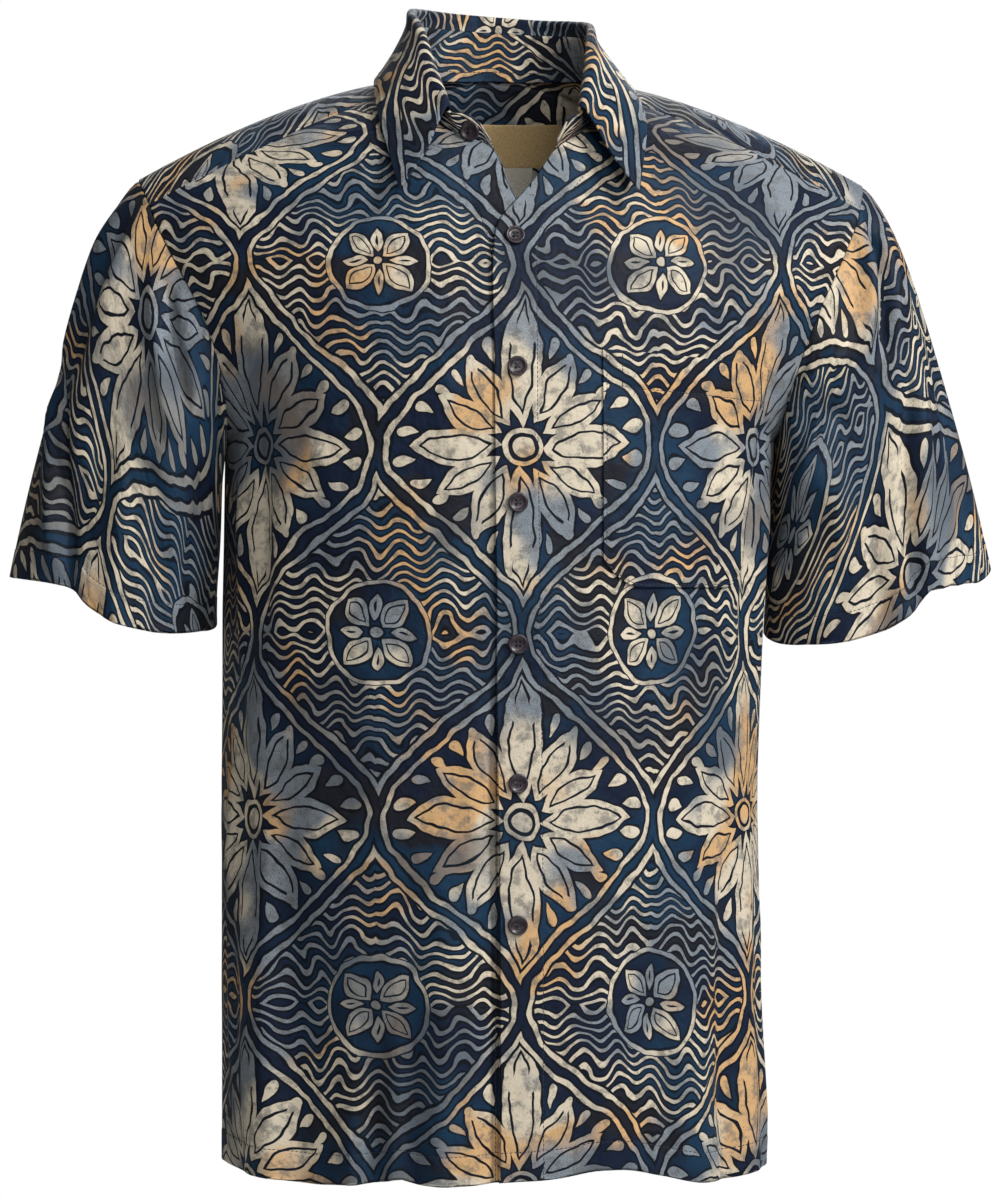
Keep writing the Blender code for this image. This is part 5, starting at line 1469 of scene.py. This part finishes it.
button_material, button_shader = new_material("button_polyester", 0.36, BUTTON_COLOUR)
button_shader.inputs["Specular IOR Level"].default_value = 0.5
button_place = new_node("ShaderNodeTexCoord").outputs["Object"]
swirl = step_up(noise(button_place, 260.0, 3.0, 5.0, .6), .42, .66)
plug(button_shader.inputs["Base Color"], mixed(swirl, BUTTON_COLOUR, BUTTON_SWIRL))
plug(button_shader.inputs["Roughness"], noise(button_place, 700.0, 2.0) * .14 + .29)
button_turned = button_mesh()
button_turned.materials.append(button_material)


def put_button(name, place, outward):
    """Set a button on the cloth and sew it on with a cross of thread."""
    made = bpy.data.objects.new(name + "_turned", button_turned.copy())
    bpy.context.scene.collection.objects.link(made)
    facing = Vector(outward).to_track_quat("Z", "Y").to_matrix().to_4x4()
    made.matrix_world = Matrix.Translation(Vector(place)) @ facing
    placed(made, "button", name)
    for x, y in ((1, 1), (1, -1)):
        hole = Vector((x * BUTTON_HOLE_SPREAD, y * BUTTON_HOLE_SPREAD, 0.0))
        middle = Vector((0.0, 0.0, BUTTON_THICKNESS * THREAD_LEVEL))
        ends = [np.array(made.matrix_world @ (middle + hole * end)) for end in (-1, 1)]
        for shift in (-THREAD_APART, THREAD_APART):
            sideways = np.array(made.matrix_world.to_3x3() @ Vector((y * shift, -x * shift, 0)))
            STITCH_SPOTS.append(((ends[0] + ends[1]) / 2 + sideways, ends[1] - ends[0], np.array(outward)))


for number, height in enumerate(BUTTON_HEIGHTS, start=1):
    spot = place_on(front_outer, BUTTON_X, height)
    up = on_grid(front_normal, *spot)
    up = up / np.linalg.norm(up)
    put_button(f"button_{number}", on_grid(front_outer, *spot) + up * BUTTON_GAP, up)
low_corner, high_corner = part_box("button_stand")
stand_middle = np.array((low_corner + high_corner) / 2)
nearest = np.argmin(np.linalg.norm(stand_outer - stand_middle, axis=2))
r, c = np.unravel_index(nearest, stand_outer.shape[:2])
up = stand_normal[r, c]
put_button("button_stand", stand_middle - up * BUTTON_THICKNESS / 2, up)
threads("button_threads", "button")

# ---------------------------------------------------------------------------------------------------------
# The place it is shown in: nothing but white, and a pale floor far below that fades into it. Of the three
# soft square lights, two stand in front and one behind.
# ---------------------------------------------------------------------------------------------------------
FLOOR_Z, FLOOR_HALF = -1.5, 3.5
WHITE_FROM, WHITE_AT = 1.7, 3.2       # distances over which the floor fades into the white
WORLD_LIGHT = 0.17
floor_mesh = bpy.data.meshes.new("floor")
floor_corners = [(x * FLOOR_HALF, y * FLOOR_HALF, FLOOR_Z) for x, y in ((-1, -1), (1, -1), (1, 1), (-1, 1))]
floor_mesh.from_pydata(floor_corners, [], [(0, 1, 2, 3)])
floor = bpy.data.objects.new("floor", floor_mesh)
bpy.context.scene.collection.objects.link(floor)
floor_material, floor_shader = new_material("pale_floor", 0.9)
where = new_node("ShaderNodeNewGeometry")
distance = new_node("ShaderNodeVectorMath", operation="LENGTH")
plug(distance.inputs[0], where.outputs["Position"])
white_share = step_up(Field(distance.outputs["Value"]), WHITE_FROM, WHITE_AT)
seen = Field(new_node("ShaderNodeLightPath").outputs["Is Camera Ray"])
plug(floor_shader.inputs["Base Color"], mixed(white_share, (.82, .82, .82), (0, 0, 0)))
floor_shader.inputs["Emission Color"].default_value = (1, 1, 1, 1)
plug(floor_shader.inputs["Emission Strength"], white_share * seen)
floor_mesh.materials.append(floor_material)
world = bpy.data.worlds.new("white")
bpy.context.scene.world = world
world.use_nodes = True
Field.tree = world.node_tree
background = world.node_tree.nodes["Background"]
background.inputs["Color"].default_value = (1, 1, 1, 1)
seen = Field(new_node("ShaderNodeLightPath").outputs["Is Camera Ray"])
plug(background.inputs["Strength"], seen * (1.0 - WORLD_LIGHT) + WORLD_LIGHT)


def area_light(name, place, target, size, power):
    """Hang a square soft light, aimed at a point."""
    light = bpy.data.lights.new(name, "AREA")
    light.shape = "SQUARE"
    light.size = size
    light.energy = power
    made = bpy.data.objects.new(name, light)
    made.location = place
    made.rotation_euler = (Vector(target) - Vector(place)).to_track_quat("-Z", "Y").to_euler()
    bpy.context.scene.collection.objects.link(made)


area_light("key", (1.95, -1.90, 1.80), (0, 0, -.25), .9, 112)
area_light("fill", (0.45, -3.10, .95), (0, 0, -.30), 1.1, 38)
area_light("back_fill", (0.5, 2.8, 1.3), (0, 0, -.30), 1.8, 62)

# ---------------------------------------------------------------------------------------------------------
# The camera, level with the middle of the shirt, a little to the wearer's right, and 3 m off with a long lens
# so that near and far parts look alike in scale.
# ---------------------------------------------------------------------------------------------------------
AZIMUTH, DISTANCE, HEIGHT = math.radians(-5), 3.0, -0.353
LENS, SENSOR_HEIGHT = 128.02, 36.0    # millimetres
camera_data = bpy.data.cameras.new("camera")
camera_data.sensor_fit = "VERTICAL"
camera_data.sensor_height = SENSOR_HEIGHT
camera_data.lens = LENS
camera = bpy.data.objects.new("camera", camera_data)
camera.location = (DISTANCE * math.sin(AZIMUTH), -DISTANCE * math.cos(AZIMUTH), HEIGHT)
camera.rotation_euler = (math.pi / 2, 0, AZIMUTH)
bpy.context.scene.collection.objects.link(camera)
bpy.context.scene.camera = camera
bpy.context.scene.view_settings.view_transform = "Standard"
